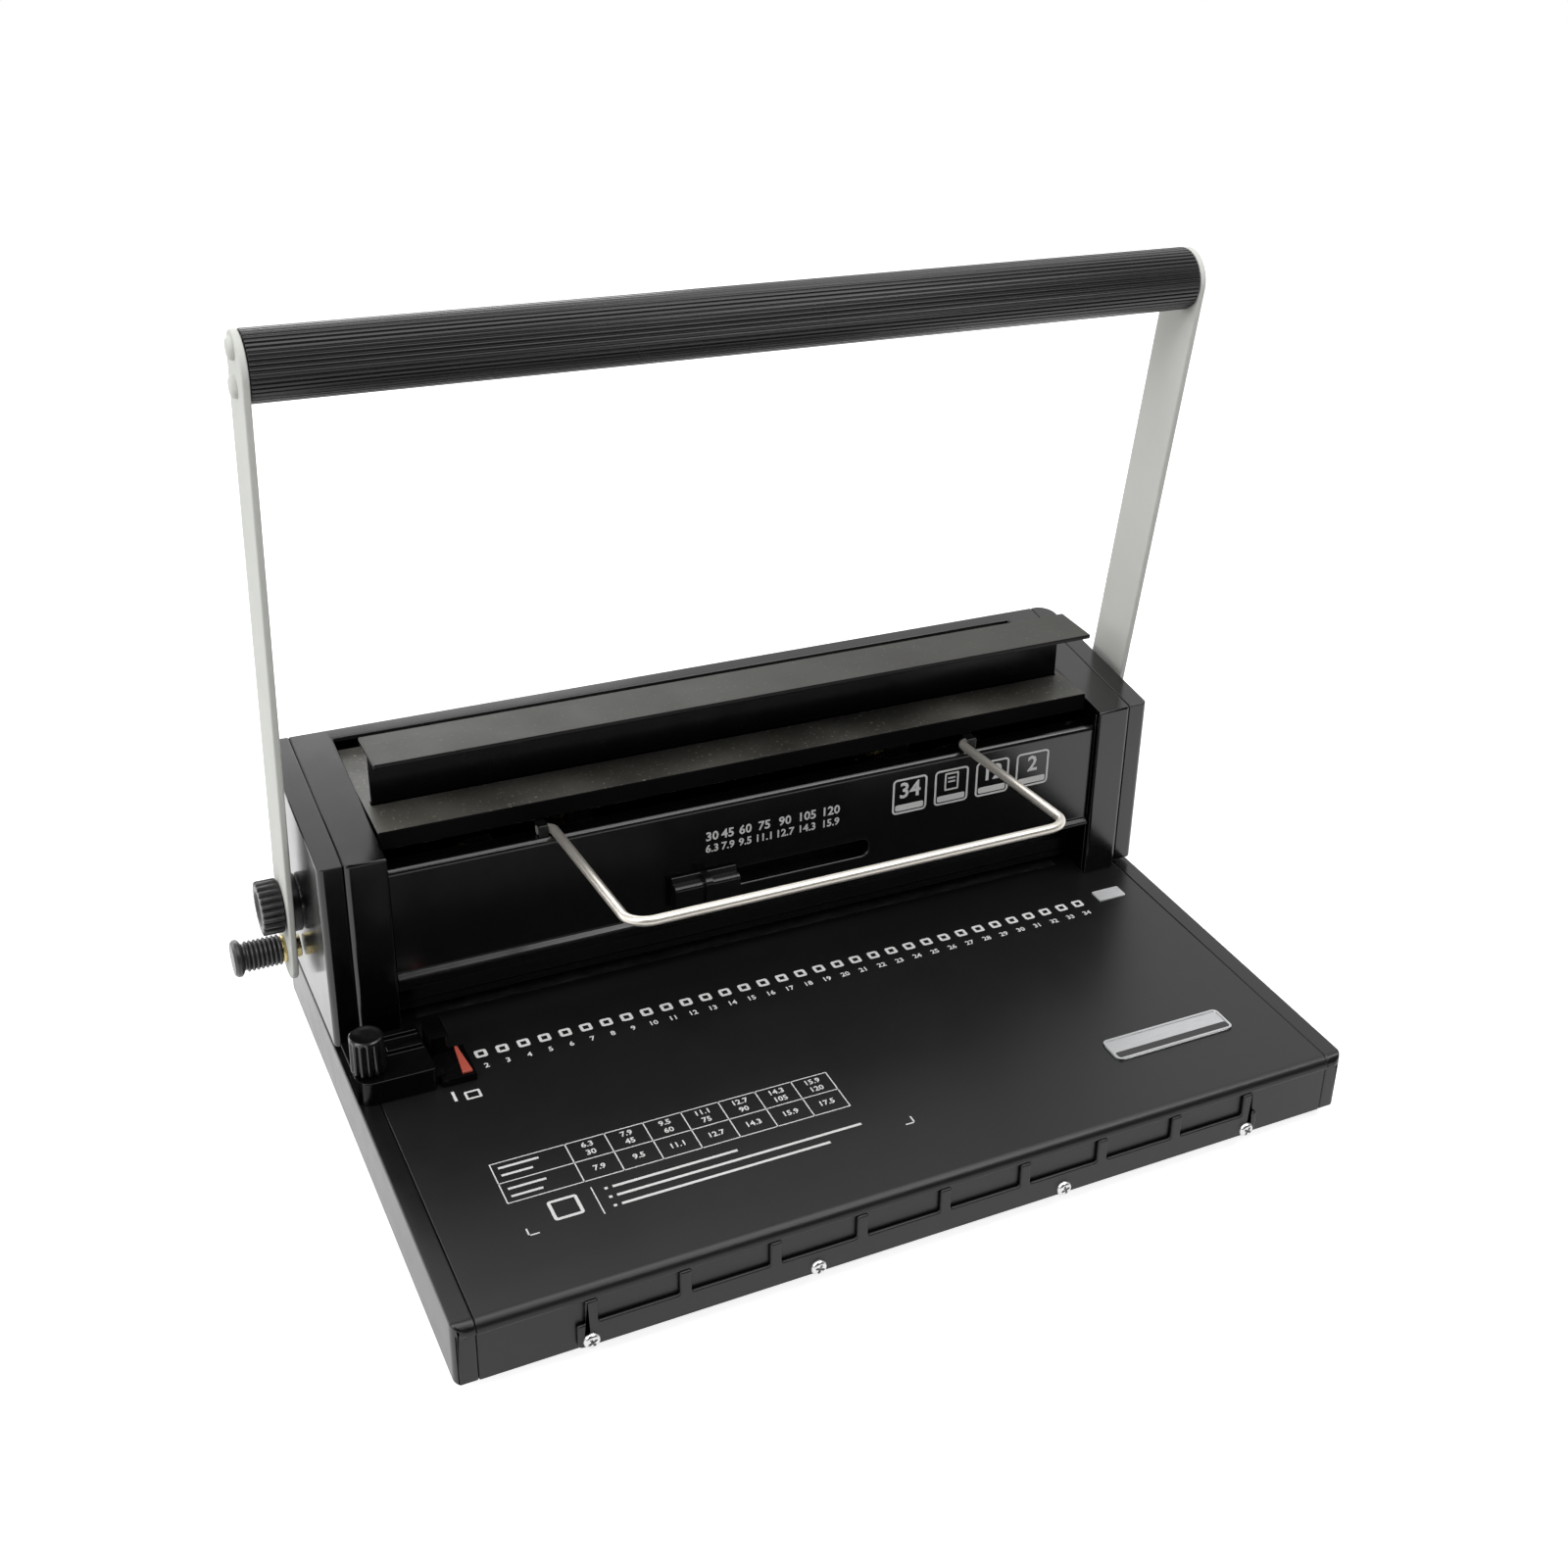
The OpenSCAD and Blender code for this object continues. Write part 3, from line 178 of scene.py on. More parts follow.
def coated(name, dark, light, roughness, grain=0.7 * MM, depth=0.006 * MM, specular=0.5):
    """Powder coat or moulded plastic: clouded colour, slightly uneven gloss and a fine grain."""
    material, tree, shader = new_material(name, dark, roughness[0], 0.0, specular)
    patch = spread(tree, noise(tree, CLOUD), 0.0, 1.0)
    tree.links.new(blend_colors(tree, patch, dark, light), shader.inputs["Base Color"])
    gloss = spread(tree, noise(tree, CLOUD * GLOSS_SHARE), roughness[0], roughness[1])
    tree.links.new(gloss, shader.inputs["Roughness"])
    add_bump(tree, shader, noise(tree, grain, 2.0), 0.6, depth)
    return material


def metal(name, color, roughness, stretch=(1, 1, 1), grain=0.6 * MM, depth=0.004 * MM, shine=1.0):
    """Metal with fine brushing along one axis and uneven gloss."""
    material, tree, shader = new_material(name, color, roughness[0], shine)
    darker = tuple(part * STREAK for part in color)
    streak = noise(tree, grain, 4.0, stretch)
    patch = spread(tree, streak, 0.0, 1.0)
    tree.links.new(blend_colors(tree, patch, darker, color), shader.inputs["Base Color"])
    tree.links.new(spread(tree, streak, roughness[0], roughness[1]), shader.inputs["Roughness"])
    add_bump(tree, shader, streak, 0.5, depth)
    return material


def dusty(name, ground, haze, speck, roughness):
    """Worn black plate under a film of paper dust, with pale specks; on the upper jaw's top the pale film is
    painted sheen.
    """
    material, tree, shader = new_material(name, ground, roughness[0], 0.0, 0.25)
    film = blend_colors(tree, spread(tree, noise(tree, FILM_SIZE), 0.0, 1.0), ground, haze)
    dots = spread(tree, noise(tree, SPECK_SIZE, 4.0), 0.0, 1.0, *SPECK_LEVELS)
    tree.links.new(blend_colors(tree, dots, film, speck), shader.inputs["Base Color"])
    tree.links.new(spread(tree, noise(tree, DUST_GLOSS_SIZE), *roughness), shader.inputs["Roughness"])
    add_bump(tree, shader, noise(tree, DUST_GRAIN), 0.5, DUST_DEPTH)
    return material


# Finish of each material slot of the record
MATERIALS = {
    "black_coat": coated("black_coat", (0.0040, 0.0040, 0.0042), (0.0052, 0.0052, 0.0054), (0.33, 0.36),
                         specular=0.48),
    "plate_steel": metal("plate_steel", (0.50, 0.51, 0.52), (0.28, 0.42), (0.08, 1, 1)),
    "bright_steel": metal("bright_steel", (0.80, 0.80, 0.80), (0.18, 0.30)),
    "brass": metal("brass", (0.74, 0.62, 0.30), (0.20, 0.32)),
    "nickel_wire": metal("nickel_wire", (0.78, 0.74, 0.67), (0.30, 0.36), depth=0.001 * MM, shine=0.8),
    "badge_metal": metal("badge_metal", (0.62, 0.63, 0.64), (0.30, 0.42), (0.05, 1, 1), 0.3 * MM),
    "arm_paint": coated("arm_paint", (0.60, 0.61, 0.575), (0.64, 0.65, 0.615), (0.60, 0.70), 0.8 * MM,
                        specular=0.08),
    "black_plastic": coated("black_plastic", (0.0030, 0.0030, 0.0032), (0.0045, 0.0045, 0.0045),
                            (0.17, 0.24), 0.35 * MM),
    "grip_plastic": coated("grip_plastic", (0.0045, 0.0043, 0.0050), (0.0065, 0.0062, 0.0070),
                           (0.24, 0.28), 0.4 * MM, 0.002 * MM),
    "red_plastic": coated("red_plastic", (0.36, 0.060, 0.040), (0.44, 0.085, 0.055), (0.40, 0.50), 0.5 * MM),
    "foot_rubber": coated("foot_rubber", (0.012, 0.012, 0.012), (0.02, 0.02, 0.02), (0.65, 0.8), 0.5 * MM),
}

# Finishes of single pieces or faces
HEAD_COAT = coated("head_coat", (0.0005, 0.0005, 0.0006), (0.0008, 0.0008, 0.0009), (0.17, 0.20),
                   specular=0.68)
GUIDE_PLASTIC = coated("guide_plastic", (0.0010, 0.0010, 0.0011), (0.0016, 0.0016, 0.0016), (0.20, 0.28),
                       0.35 * MM, specular=0.2)
# Dull near-black with no reflection, for the guide's faces that look left and the shelf's front faces:
# painted shade, those sides darker than the rest of their piece
SHADE_DULL = coated("shade_dull", (0.0040, 0.0040, 0.0042), (0.0060, 0.0060, 0.0062), (0.85, 0.95),
                   specular=0.0)
RAIL_COAT = coated("rail_coat", (0.0040, 0.0040, 0.0042), (0.0052, 0.0052, 0.0054), (0.24, 0.27),
                   specular=0.48)
KNOB_PLASTIC = coated("knob_plastic", (0.028, 0.028, 0.029), (0.040, 0.040, 0.041), (0.28, 0.38), 0.35 * MM)
MARGIN_METAL = metal("margin_metal", (0.78, 0.79, 0.80), (0.34, 0.46), (0.05, 1, 1), 0.3 * MM, shine=0.5)
# Pale speckled grey on the upper jaw's up-facing faces only: painted sheen, the top lighter than the jaw's
# dark sides
JAW_TOP_SHEEN = dusty("jaw_top_sheen", (0.042, 0.041, 0.037), (0.056, 0.055, 0.049), (0.085, 0.083, 0.075), (0.50, 0.58))
SHELF_TOP = dusty("shelf_top", (0.032, 0.031, 0.027), (0.105, 0.101, 0.088), (0.28, 0.27, 0.24), (0.36, 0.48))
PRINT_WHITE = coated("print_white", (0.60, 0.60, 0.59), (0.70, 0.70, 0.69), (0.45, 0.6),
                     0.3 * MM, 0.003 * MM)
BADGE_BAND = coated("badge_band", (0.012, 0.012, 0.013), (0.018, 0.018, 0.019), (0.18, 0.26),
                    0.4 * MM, 0.003 * MM)


# Pieces

def link(name, mesh):
    """New object with that mesh, in the scene."""
    piece = bpy.data.objects.new(name, mesh)
    bpy.context.scene.collection.objects.link(piece)
    return piece


def settle(piece, node, materials=None, replaces=True):
    """The piece takes its body, slot and finish from a CAD node, and stands for it unless told not to."""
    slot = SLOT_OF[node]
    indices = [face.material_index for face in piece.data.polygons]
    piece.data.materials.clear()
    for material in materials or [MATERIALS[slot]]:
        piece.data.materials.append(material)
    piece.data.polygons.foreach_set("material_index", indices)
    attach(piece, BODY_OF[node])
    if replaces:
        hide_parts(node)
    return piece


def mesh_of(build, name):
    """Turns a bmesh into a mesh."""
    mesh = bpy.data.meshes.new(name)
    build.to_mesh(mesh)
    build.free()
    return mesh


def smooth(mesh):
    """Smooth shading on every face."""
    mesh.polygons.foreach_set("use_smooth", [True] * len(mesh.polygons))


def corners(points):
    """Lowest and highest corner of the box round some points."""
    low = Vector([min(point[axis] for point in points) for axis in range(3)])
    high = Vector([max(point[axis] for point in points) for axis in range(3)])
    return low, high


def span(node):
    """Lowest and highest corner of a CAD node."""
    return corners([NODES[node].matrix_world @ vertex.co for vertex in NODES[node].data.vertices])


def welded(node):
    """Copy of a CAD node's mesh as a bmesh, with doubled points joined."""
    build = bmesh.new()
    build.from_mesh(NODES[node].data)
    bmesh.ops.remove_doubles(build, verts=build.verts, dist=WELD)
    return build


def solid_spans(node):
    """Lowest and highest corner of each separate solid of a CAD node."""
    build = welded(node)
    left = set(build.verts)
    spans = []
    while left:
        reached = [left.pop()]
        points = []
        while reached:
            vertex = reached.pop()
            points.append(NODES[node].matrix_world @ vertex.co)
            for edge in vertex.link_edges:
                other = edge.other_vert(vertex)
                if other in left:
                    left.remove(other)
                    reached.append(other)
        spans.append(corners(points))
    build.free()
    return sorted(spans, key=lambda pair: tuple(round(value, 6) for value in pair[0]))


def middles(node):
    """Middle along X of each separate solid of a CAD node."""
    return sorted({round((low.x + high.x) / 2, 5) for low, high in solid_spans(node)})


def whole_solid(node, cuts=()):
    """Copy of a CAD node's solid as a bmesh, its flat faces whole again apart from cuts across X."""
    build = welded(node)
    for x in cuts:
        every = build.verts[:] + build.edges[:] + build.faces[:]
        made = bmesh.ops.bisect_plane(build, geom=every, plane_co=(x, 0, 0), plane_no=(1, 0, 0))
        for edge in made["geom_cut"]:
            if isinstance(edge, bmesh.types.BMEdge):
                edge.seam = True
    bmesh.ops.dissolve_limit(build, angle_limit=FLAT, verts=build.verts, edges=build.edges, delimit={"SEAM"})
    return build


# Pieces whose small faces leave no room for the full width
FINE_FACED = ("size_slider", "guide_stop_bar")


def eased(node, width, materials=None, prepare=None, cuts=()):
    """The CAD node's shape with every sharp edge rounded by a width in millimetres."""
    build = whole_solid(node, cuts)
    if prepare:
        prepare(build)
    mesh = mesh_of(build, node + "_shell")
    if "custom_normal" in mesh.attributes:
        mesh.attributes.remove(mesh.attributes["custom_normal"])
    smooth(mesh)
    piece = link(node + "_shell", mesh)
    ease = piece.modifiers.new("ease", "BEVEL")
    ease.width = width * MM
    ease.segments = 3
    ease.limit_method = "ANGLE"
    ease.angle_limit = CREASE
    ease.use_clamp_overlap = node in FINE_FACED
    flatten = piece.modifiers.new("flatten", "WEIGHTED_NORMAL")
    flatten.weight = 100
    settle(piece, node, materials)


# Least share of a face's normal along an axis for the face to look that way
FACING = 0.7


def faces_apart(build):
    """Gives the faces that look up the second material and those that look to the front the third."""
    for face in build.faces:
        face.normal_update()
        face.material_index = 1 if face.normal.z > FACING else 2 if face.normal.y < -FACING else 0


def left_faces_apart(build):
    """Gives the faces that look to the left the second material."""
    for face in build.faces:
        face.normal_update()
        face.material_index = 1 if face.normal.x < -FACING else 0


def aim(outward, at):
    """Matrix that turns a mesh made along Z to point outward from a place."""
    return Matrix.Translation(at) @ Vector(outward).to_track_quat("Z", "Y").to_matrix().to_4x4()


def wall(build, lower, upper):
    """Adds the side faces between two rings of points."""
    for step in range(len(lower)):
        after = (step + 1) % len(lower)
        build.faces.new((lower[step], lower[after], upper[after], upper[step]))


def skin(build, rings):
    """Adds the side faces along matching rings of points, and a face on each end."""
    for lower, upper in zip(rings, rings[1:]):
        wall(build, lower, upper)
    build.faces.new(list(reversed(rings[0])))
    build.faces.new(rings[-1])


def lathe(build, profile, place, sides, flutes=0, narrow=1.5):
    """Adds a solid of revolution; profile points are (radius, height, flute depth) in millimetres.

    The flutes get thinner, with broader lands between them, as narrow grows.
    """
    rings = []
    for radius, height, depth in profile:
        ring = []
        for step in range(sides):
            angle = 2 * math.pi * step / sides
            groove = (0.5 - 0.5 * math.cos(flutes * angle)) ** narrow
            reach = (radius - depth * groove) * MM
            spot = Vector((reach * math.cos(angle), reach * math.sin(angle), height * MM))
            ring.append(build.verts.new(place @ spot))
        rings.append(ring)
    skin(build, rings)


def finish_piece(build, name, node, materials=None, crease=CREASE):
    """Turns a bmesh into a smooth piece that stands for a CAD node."""
    bmesh.ops.recalc_face_normals(build, faces=build.faces)
    mesh = mesh_of(build, name)
    smooth(mesh)
    mesh.set_sharp_from_angle(angle=crease)
    return settle(link(name, mesh), node, materials)


# Grip, in millimetres

GRIP_FLUTES = 44
GRIP_FLUTE_SIDES = 12
GRIP_FLUTE_DEPTH = 0.35
GRIP_NARROW = 4
GRIP_WALL = 2.5
GRIP_MOUTH = 2
GRIP_END_R = 0.5


def dress_grip():
    """Fluted sleeve with softened ends, round the core bar."""
    low, high = span("grip_sleeve")
    radius = (high.z - low.z) / 2 / MM
    length = (high.x - low.x) / MM
    inner = radius - GRIP_WALL
    axis = Vector((low.x, (low.y + high.y) / 2, (low.z + high.z) / 2))
    depth = GRIP_FLUTE_DEPTH
    end = GRIP_END_R
    soft = 0.3 * end
    profile = [(inner, GRIP_MOUTH, 0), (inner, 0, 0),
               (radius - end, 0, depth), (radius - soft, soft, depth), (radius, end, depth),
               (radius, length - end, depth), (radius - soft, length - soft, depth),
               (radius - end, length, depth),
               (inner, length, 0), (inner, length - GRIP_MOUTH, 0)]
    build = bmesh.new()
    lathe(build, profile, aim((1, 0, 0), axis), GRIP_FLUTES * GRIP_FLUTE_SIDES, GRIP_FLUTES, GRIP_NARROW)
    finish_piece(build, "grip_sleeve_fluted", "grip_sleeve")


# Knobs and plungers, in millimetres

STUD_R = 2.4
KNOB_T = 8.5
KNOB_FLUTES = 22
KNOB_FLUTE_SIDES = 10
PIN_R = 2.5
PLUNGER_LEN = 18.5
PLUNGER_FLANGE = 4.6
PLUNGER_RINGS = 8
PLUNGER_SIDES = 56
THUMB_H = 16
THUMB_FLUTES = 13


def turned_seat(node, outward, length):
    """Radius, stud length and place of a turned piece whose head stands out along X by a length."""
    low, high = span(node)
    radius = (high.z - low.z) / 2 / MM
    stud = (high.x - low.x) / MM - length
    face_x = high.x if outward > 0 else low.x
    seat = Vector((face_x - outward * length * MM, (low.y + high.y) / 2, (low.z + high.z) / 2))
    return radius, stud, aim((outward, 0, 0), seat)


def dress_clamp_knob(node, outward):
    """Fluted disc with a dished face, on its stud."""
    radius, stud, place = turned_seat(node, outward, KNOB_T)
    profile = [(STUD_R, -stud, 0), (STUD_R, 0, 0),
               (radius - 1.6, 0, 0.6), (radius - 0.4, 0.5, 1.3), (radius, 1.2, 1.5),
               (radius, KNOB_T - 0.7, 1.5), (radius - 0.25, KNOB_T - 0.2, 1.4), (radius - 0.8, KNOB_T, 1.0),
               (radius - 3.6, KNOB_T, 0), (radius - 4.4, KNOB_T - 0.9, 0), (1.5, KNOB_T - 1.2, 0)]
    build = bmesh.new()
    lathe(build, profile, place, KNOB_FLUTES * KNOB_FLUTE_SIDES, KNOB_FLUTES)
    finish_piece(build, node + "_fluted", node, [KNOB_PLASTIC])


def dress_plunger(node, outward):
    """Ringed pull knob with a broad end flange, on its pin."""
    flange, pin, place = turned_seat(node, outward, PLUNGER_LEN)
    groove_r = flange - 2.2
    ring_r = flange - 1.2
    body = PLUNGER_LEN - PLUNGER_FLANGE
    pitch = body / PLUNGER_RINGS
    profile = [(PIN_R, -pin, 0), (PIN_R, 0, 0)]
    for ring in range(PLUNGER_RINGS):
        start = ring * pitch
        profile += [(groove_r, start, 0), (ring_r - 0.2, start + pitch * 0.3, 0),
                    (ring_r, start + pitch * 0.5, 0), (ring_r - 0.2, start + pitch * 0.7, 0)]
    profile += [(groove_r, body, 0), (groove_r, body + 0.6, 0),
                (flange - 0.5, body + 1.6, 0), (flange, body + 2.2, 0),
                (flange, PLUNGER_LEN - 1.0, 0), (flange - 1.0, PLUNGER_LEN, 0), (1, PLUNGER_LEN, 0)]
    build = bmesh.new()
    lathe(build, profile, place, PLUNGER_SIDES)
    finish_piece(build, node + "_ringed", node, [KNOB_PLASTIC])


def dress_thumb_knob():
    """Tall fluted thumb knob with a plain rim and a shallow dish in its top."""
    low, high = span("thumb_knob")
    radius = (high.y - low.y) / 2 / MM
    stud = (high.z - low.z) / MM - THUMB_H
    seat = Vector(((low.x + high.x) / 2, (low.y + high.y) / 2, high.z - THUMB_H * MM))
    profile = [(STUD_R, -stud, 0), (STUD_R, 0, 0),
               (radius - 0.9, 0, 1.0), (radius - 0.1, 0.9, 1.3), (radius, 1.8, 1.4),
               (radius - 0.2, THUMB_H - 2.4, 1.4), (radius - 0.2, THUMB_H - 1.4, 0.3),
               (radius - 0.2, THUMB_H - 0.5, 0), (radius - 0.7, THUMB_H, 0), (radius - 1.5, THUMB_H, 0),
               (radius - 2.0, THUMB_H - 0.3, 0), (1, THUMB_H - 0.3, 0)]
    build = bmesh.new()
    lathe(build, profile, aim((0, 0, 1), seat), THUMB_FLUTES * KNOB_FLUTE_SIDES, THUMB_FLUTES)
    finish_piece(build, "thumb_knob_fluted", "thumb_knob")


# Screws

SHANK_R = 1.4
SCREW_SIDES = 48
CROSS_ARMS = 4


def dress_screws(node, axis, outward, head_h, cross):
    """Domed heads, so many millimetres high, on their shanks, with a cross recess where asked."""
    build = bmesh.new()
    for count, (low, high) in enumerate(solid_spans(node)):
        side = outward or (1 if low[axis] > 0 else -1)
        across = (axis + 1) % 3
        radius = (high[across] - low[across]) / 2 / MM
        length = (high[axis] - low[axis]) / MM
        middle = (low + high) / 2
        middle[axis] = high[axis] if side > 0 else low[axis]
        way = [0, 0, 0]
        way[axis] = side
        place = aim(way, middle) @ Matrix.Rotation(0.5 + 0.7 * count, 4, "Z")
        profile = [(SHANK_R, -length, 0), (SHANK_R, -head_h, 0),
                   (radius, -head_h, 0), (radius, -head_h * 0.62, 0), (radius * 0.93, -head_h * 0.34, 0),
                   (radius * 0.80, -head_h * 0.12, 0), (radius * 0.64, 0, 0)]
        if cross:
            profile += [(radius * 0.60, 0, radius * 0.40), (radius * 0.52, -head_h * 0.7, radius * 0.36)]
        lathe(build, profile, place, SCREW_SIDES, CROSS_ARMS)
    finish_piece(build, node + "_heads", node)


# Return springs

def dress_springs():
    """Coils under the punch bar, from the CAD node's solid, with a mesh of their own."""
    springs = finish_piece(whole_solid("return_springs"), "return_springs_coils", "return_springs")
    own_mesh(springs)


# Wire bail, in millimetres

BAIL_LEG_X = 90.5
BAIL_END_X = 96.7
BAIL_PIVOT = (41, 109.2)
BAIL_LEN = 90
BAIL_RISE = math.radians(5.5)
BAIL_BEND_R = 9
BAIL_HOOK_R = 3.2
BAIL_WIRE_R = 1.9
BAIL_CREASE = math.radians(60)
BEND_STEPS = 10
WIRE_SIDES = 20


def rounded_path(points, radii):
    """Path through points with an arc at each inner corner."""
    path = [Vector(points[0])]
    for before, corner, after, radius in zip(points, points[1:], points[2:], radii):
        corner = Vector(corner)
        back = (Vector(before) - corner).normalized()
        ahead = (Vector(after) - corner).normalized()
        half = back.angle(ahead) / 2
        centre = corner + (back + ahead).normalized() * radius / math.sin(half)
        start = corner + back * radius / math.tan(half) - centre
        end = corner + ahead * radius / math.tan(half) - centre
        for step in range(BEND_STEPS + 1):
            path.append(centre + start.normalized().slerp(end.normalized(), step / BEND_STEPS) * radius)
    path.append(Vector(points[-1]))
    return path


def sweep(build, path, radius):
    """Adds a round wire along a path."""
    rings = []
    normal = None
    for index, point in enumerate(path):
        before = path[max(index - 1, 0)]
        after = path[min(index + 1, len(path) - 1)]
        along = (after - before).normalized()
        if normal is None:
            normal = along.orthogonal().normalized()
        normal = (normal - along * normal.dot(along)).normalized()
        other = along.cross(normal)
        ring = []
        for step in range(WIRE_SIDES):
            angle = 2 * math.pi * step / WIRE_SIDES
            offset = (normal * math.cos(angle) + other * math.sin(angle)) * radius
            ring.append(build.verts.new((point + offset) * MM))
        rings.append(ring)
    skin(build, rings)


def dress_bail():
    """Bent wire with round corners."""
    pivot_y, pivot_z = BAIL_PIVOT
    front_y = pivot_y - BAIL_LEN * math.cos(BAIL_RISE)
    front_z = pivot_z + BAIL_LEN * math.sin(BAIL_RISE)
    half = [(-BAIL_END_X, pivot_y, pivot_z), (-BAIL_LEG_X, pivot_y, pivot_z), (-BAIL_LEG_X, front_y, front_z)]
    points = half + [(-x, y, z) for x, y, z in reversed(half)]
    bends = [BAIL_HOOK_R, BAIL_BEND_R, BAIL_BEND_R, BAIL_HOOK_R]
    build = bmesh.new()
    sweep(build, rounded_path(points, bends), BAIL_WIRE_R)
    finish_piece(build, "wire_bail_bent", "wire_bail", crease=BAIL_CREASE)


# Prints, badge and margin plate, in millimetres

PRINT_T = 0.07
PRINT_SINK = 0.02
PRINT_TOP = PRINT_T - PRINT_SINK
PRINT_WELD = 0.0005 * MM
FONT_CAP = 0.70
FONT_WEIGHT = 0.03
CORNER_STEPS = 4
PANEL_Y = 36.5
ON_DECK = Matrix.Translation((0, 0, span("base_deck")[1].z))
ON_PANEL = Matrix.Translation((0, PANEL_Y * MM, 0)) @ Matrix.Rotation(math.pi / 2, 4, "X")


def rounded_loop(box, radius):
    """Corner points of a rectangle (x0, y0, x1, y1) with round corners."""
    x0, y0, x1, y1 = box
    centres = ((x1 - radius, y1 - radius), (x0 + radius, y1 - radius),
               (x0 + radius, y0 + radius), (x1 - radius, y0 + radius))
    loop = []
    for quarter, (x, y) in enumerate(centres):
        for step in range(CORNER_STEPS + 1):
            angle = math.pi / 2 * (quarter + step / CORNER_STEPS)
            loop.append((x + radius * math.cos(angle), y + radius * math.sin(angle)))
    return loop


def raised(build, loop, low, high, place):
    """Adds two matching rings of points, at a low and a high level."""
    return [[build.verts.new(place @ (Vector((x, y, level)) * MM)) for x, y in loop] for level in (low, high)]


def add_slab(build, loop, place, low=-PRINT_SINK, high=PRINT_TOP):
    """Adds a flat solid with that outline."""
    skin(build, raised(build, loop, low, high, place))


def add_border(build, box, radius, line, place, low=-PRINT_SINK, high=PRINT_TOP):
    """Adds the flat border of a rectangle with round corners."""
    x0, y0, x1, y1 = box
    inner_box = (x0 + line, y0 + line, x1 - line, y1 - line)
    outer = raised(build, rounded_loop(box, radius), low, high, place)
    inner = raised(build, rounded_loop(inner_box, max(radius - line, 0.1)), low, high, place)
    wall(build, outer[0], outer[1])
    wall(build, inner[1], inner[0])
    wall(build, inner[0], outer[0])
    wall(build, outer[1], inner[1])


def add_bar(build, box, place):
    """Adds a plain printed bar."""
    x0, y0, x1, y1 = box
    add_slab(build, [(x0, y0), (x1, y0), (x1, y1), (x0, y1)], place)


def add_number(build, digits, x, y, height, place):
    """Adds a plain number with its middle at a place."""
    data = bpy.data.curves.new("number", "FONT")
    data.body = digits
    data.size = height / FONT_CAP
    data.offset = FONT_WEIGHT * height
    data.align_x = "CENTER"
    data.align_y = "CENTER"
    data.extrude = PRINT_T / 2
    data.resolution_u = 2
    holder = bpy.data.objects.new("number", data)
    mesh = bpy.data.meshes.new_from_object(holder)
    level = PRINT_T / 2 - PRINT_SINK
    mesh.transform(place @ Matrix.Scale(MM, 4) @ Matrix.Translation((x, y, level)))
    build.from_mesh(mesh)
    bpy.data.objects.remove(holder)
    bpy.data.curves.remove(data)
    bpy.data.meshes.remove(mesh)


def finish_print(build, name, node, material=PRINT_WHITE):
    """Turns a bmesh of flat solids into a piece fixed to the node's body."""
    bmesh.ops.remove_doubles(build, verts=build.verts, dist=PRINT_WELD)
    settle(link(name, mesh_of(build, name)), node, [material], replaces=False)


# The first hole's mark lies under the guide's pointer
FIRST_MARK = 2
HOLES = 34
HOLE_PITCH = 8.467
MARK_SIDE = 4.8
MARK_CORNER = 1.0
MARK_LINE = 1.25
MARK_Y = 12.7
MARK_NUMBER_Y = 4.6
DECK_NUMBER_H = 2.7
INDEX_BAR = (-148.3, -12, -147.2, -6)
INDEX_SQUARE = (-144, -13, -138, -8)
INDEX_CORNER = 0.5
INDEX_LINE = 0.9


def print_hole_scale():
    """A small open square and its number for each hole, and the index marks beside them."""
    build = bmesh.new()
    half = MARK_SIDE / 2
    for hole in range(FIRST_MARK, HOLES + 1):
        x = (hole - (HOLES + 1) / 2) * HOLE_PITCH
        add_border(build, (x - half, MARK_Y - half, x + half, MARK_Y + half), MARK_CORNER, MARK_LINE, ON_DECK)
        add_number(build, str(hole), x, MARK_NUMBER_Y, DECK_NUMBER_H, ON_DECK)
    add_bar(build, INDEX_BAR, ON_DECK)
    add_border(build, INDEX_SQUARE, INDEX_CORNER, INDEX_LINE, ON_DECK)
    finish_print(build, "print_hole_scale", "base_deck")


TABLE = (-147.4, -74.8, -14, -52)
TABLE_FIRST = 28.2
TABLE_COLUMNS = 7
TABLE_LINE = 0.45
TABLE_CORNER = 0.3
SIZE_DROP = 3.4
SHEETS_DROP = 8.0
SHEETS_STEP = 15
SIXTEENTH = 25.4 / 16
SMALLEST_SIXTEENTHS = 4
# Rules of uneven length in the first column: rise of each over the middle line, start, end and thickness
HEADING_RISES = (7.6, 3.4, -4.4, -8.6)
HEADING_START = 2.5
HEADING_END = 16
HEADING_UNEVEN = 2
HEADING_LINE = 1.1

# Stands where the photograph has a printed note: an open square and plain rules
NOTE_SQUARE = (-135, -90, -124, -79.4)
NOTE_CORNER = 1.2
NOTE_RULE_X = -118.4
NOTE_RULE_ABOVE = 1
NOTE_RULE_BELOW = 3.5
NOTE_X = -114
NOTE_ROWS = (51, 99, 84)
NOTE_DROP = 1
NOTE_STEP = 4.9
NOTE_INDENT = 3
NOTE_LINE = 1.2

# Corner marks on both sides of the note: where each stands and which way it points
CORNER_MARKS = ((TABLE[0] + 1.8, 1), (4, -1))
CORNER_Y = -93.6
CORNER_LEN = 4
CORNER_LINE = 0.6


def wire_size(column):
    """Plain size in millimetres for a column, in sixteenths of an inch."""
    return "%.1f" % (SIXTEENTH * (SMALLEST_SIXTEENTHS + column))


def sheet_count(column):
    """Plain count of sheets for a column."""
    return str(SHEETS_STEP * (column + 2))


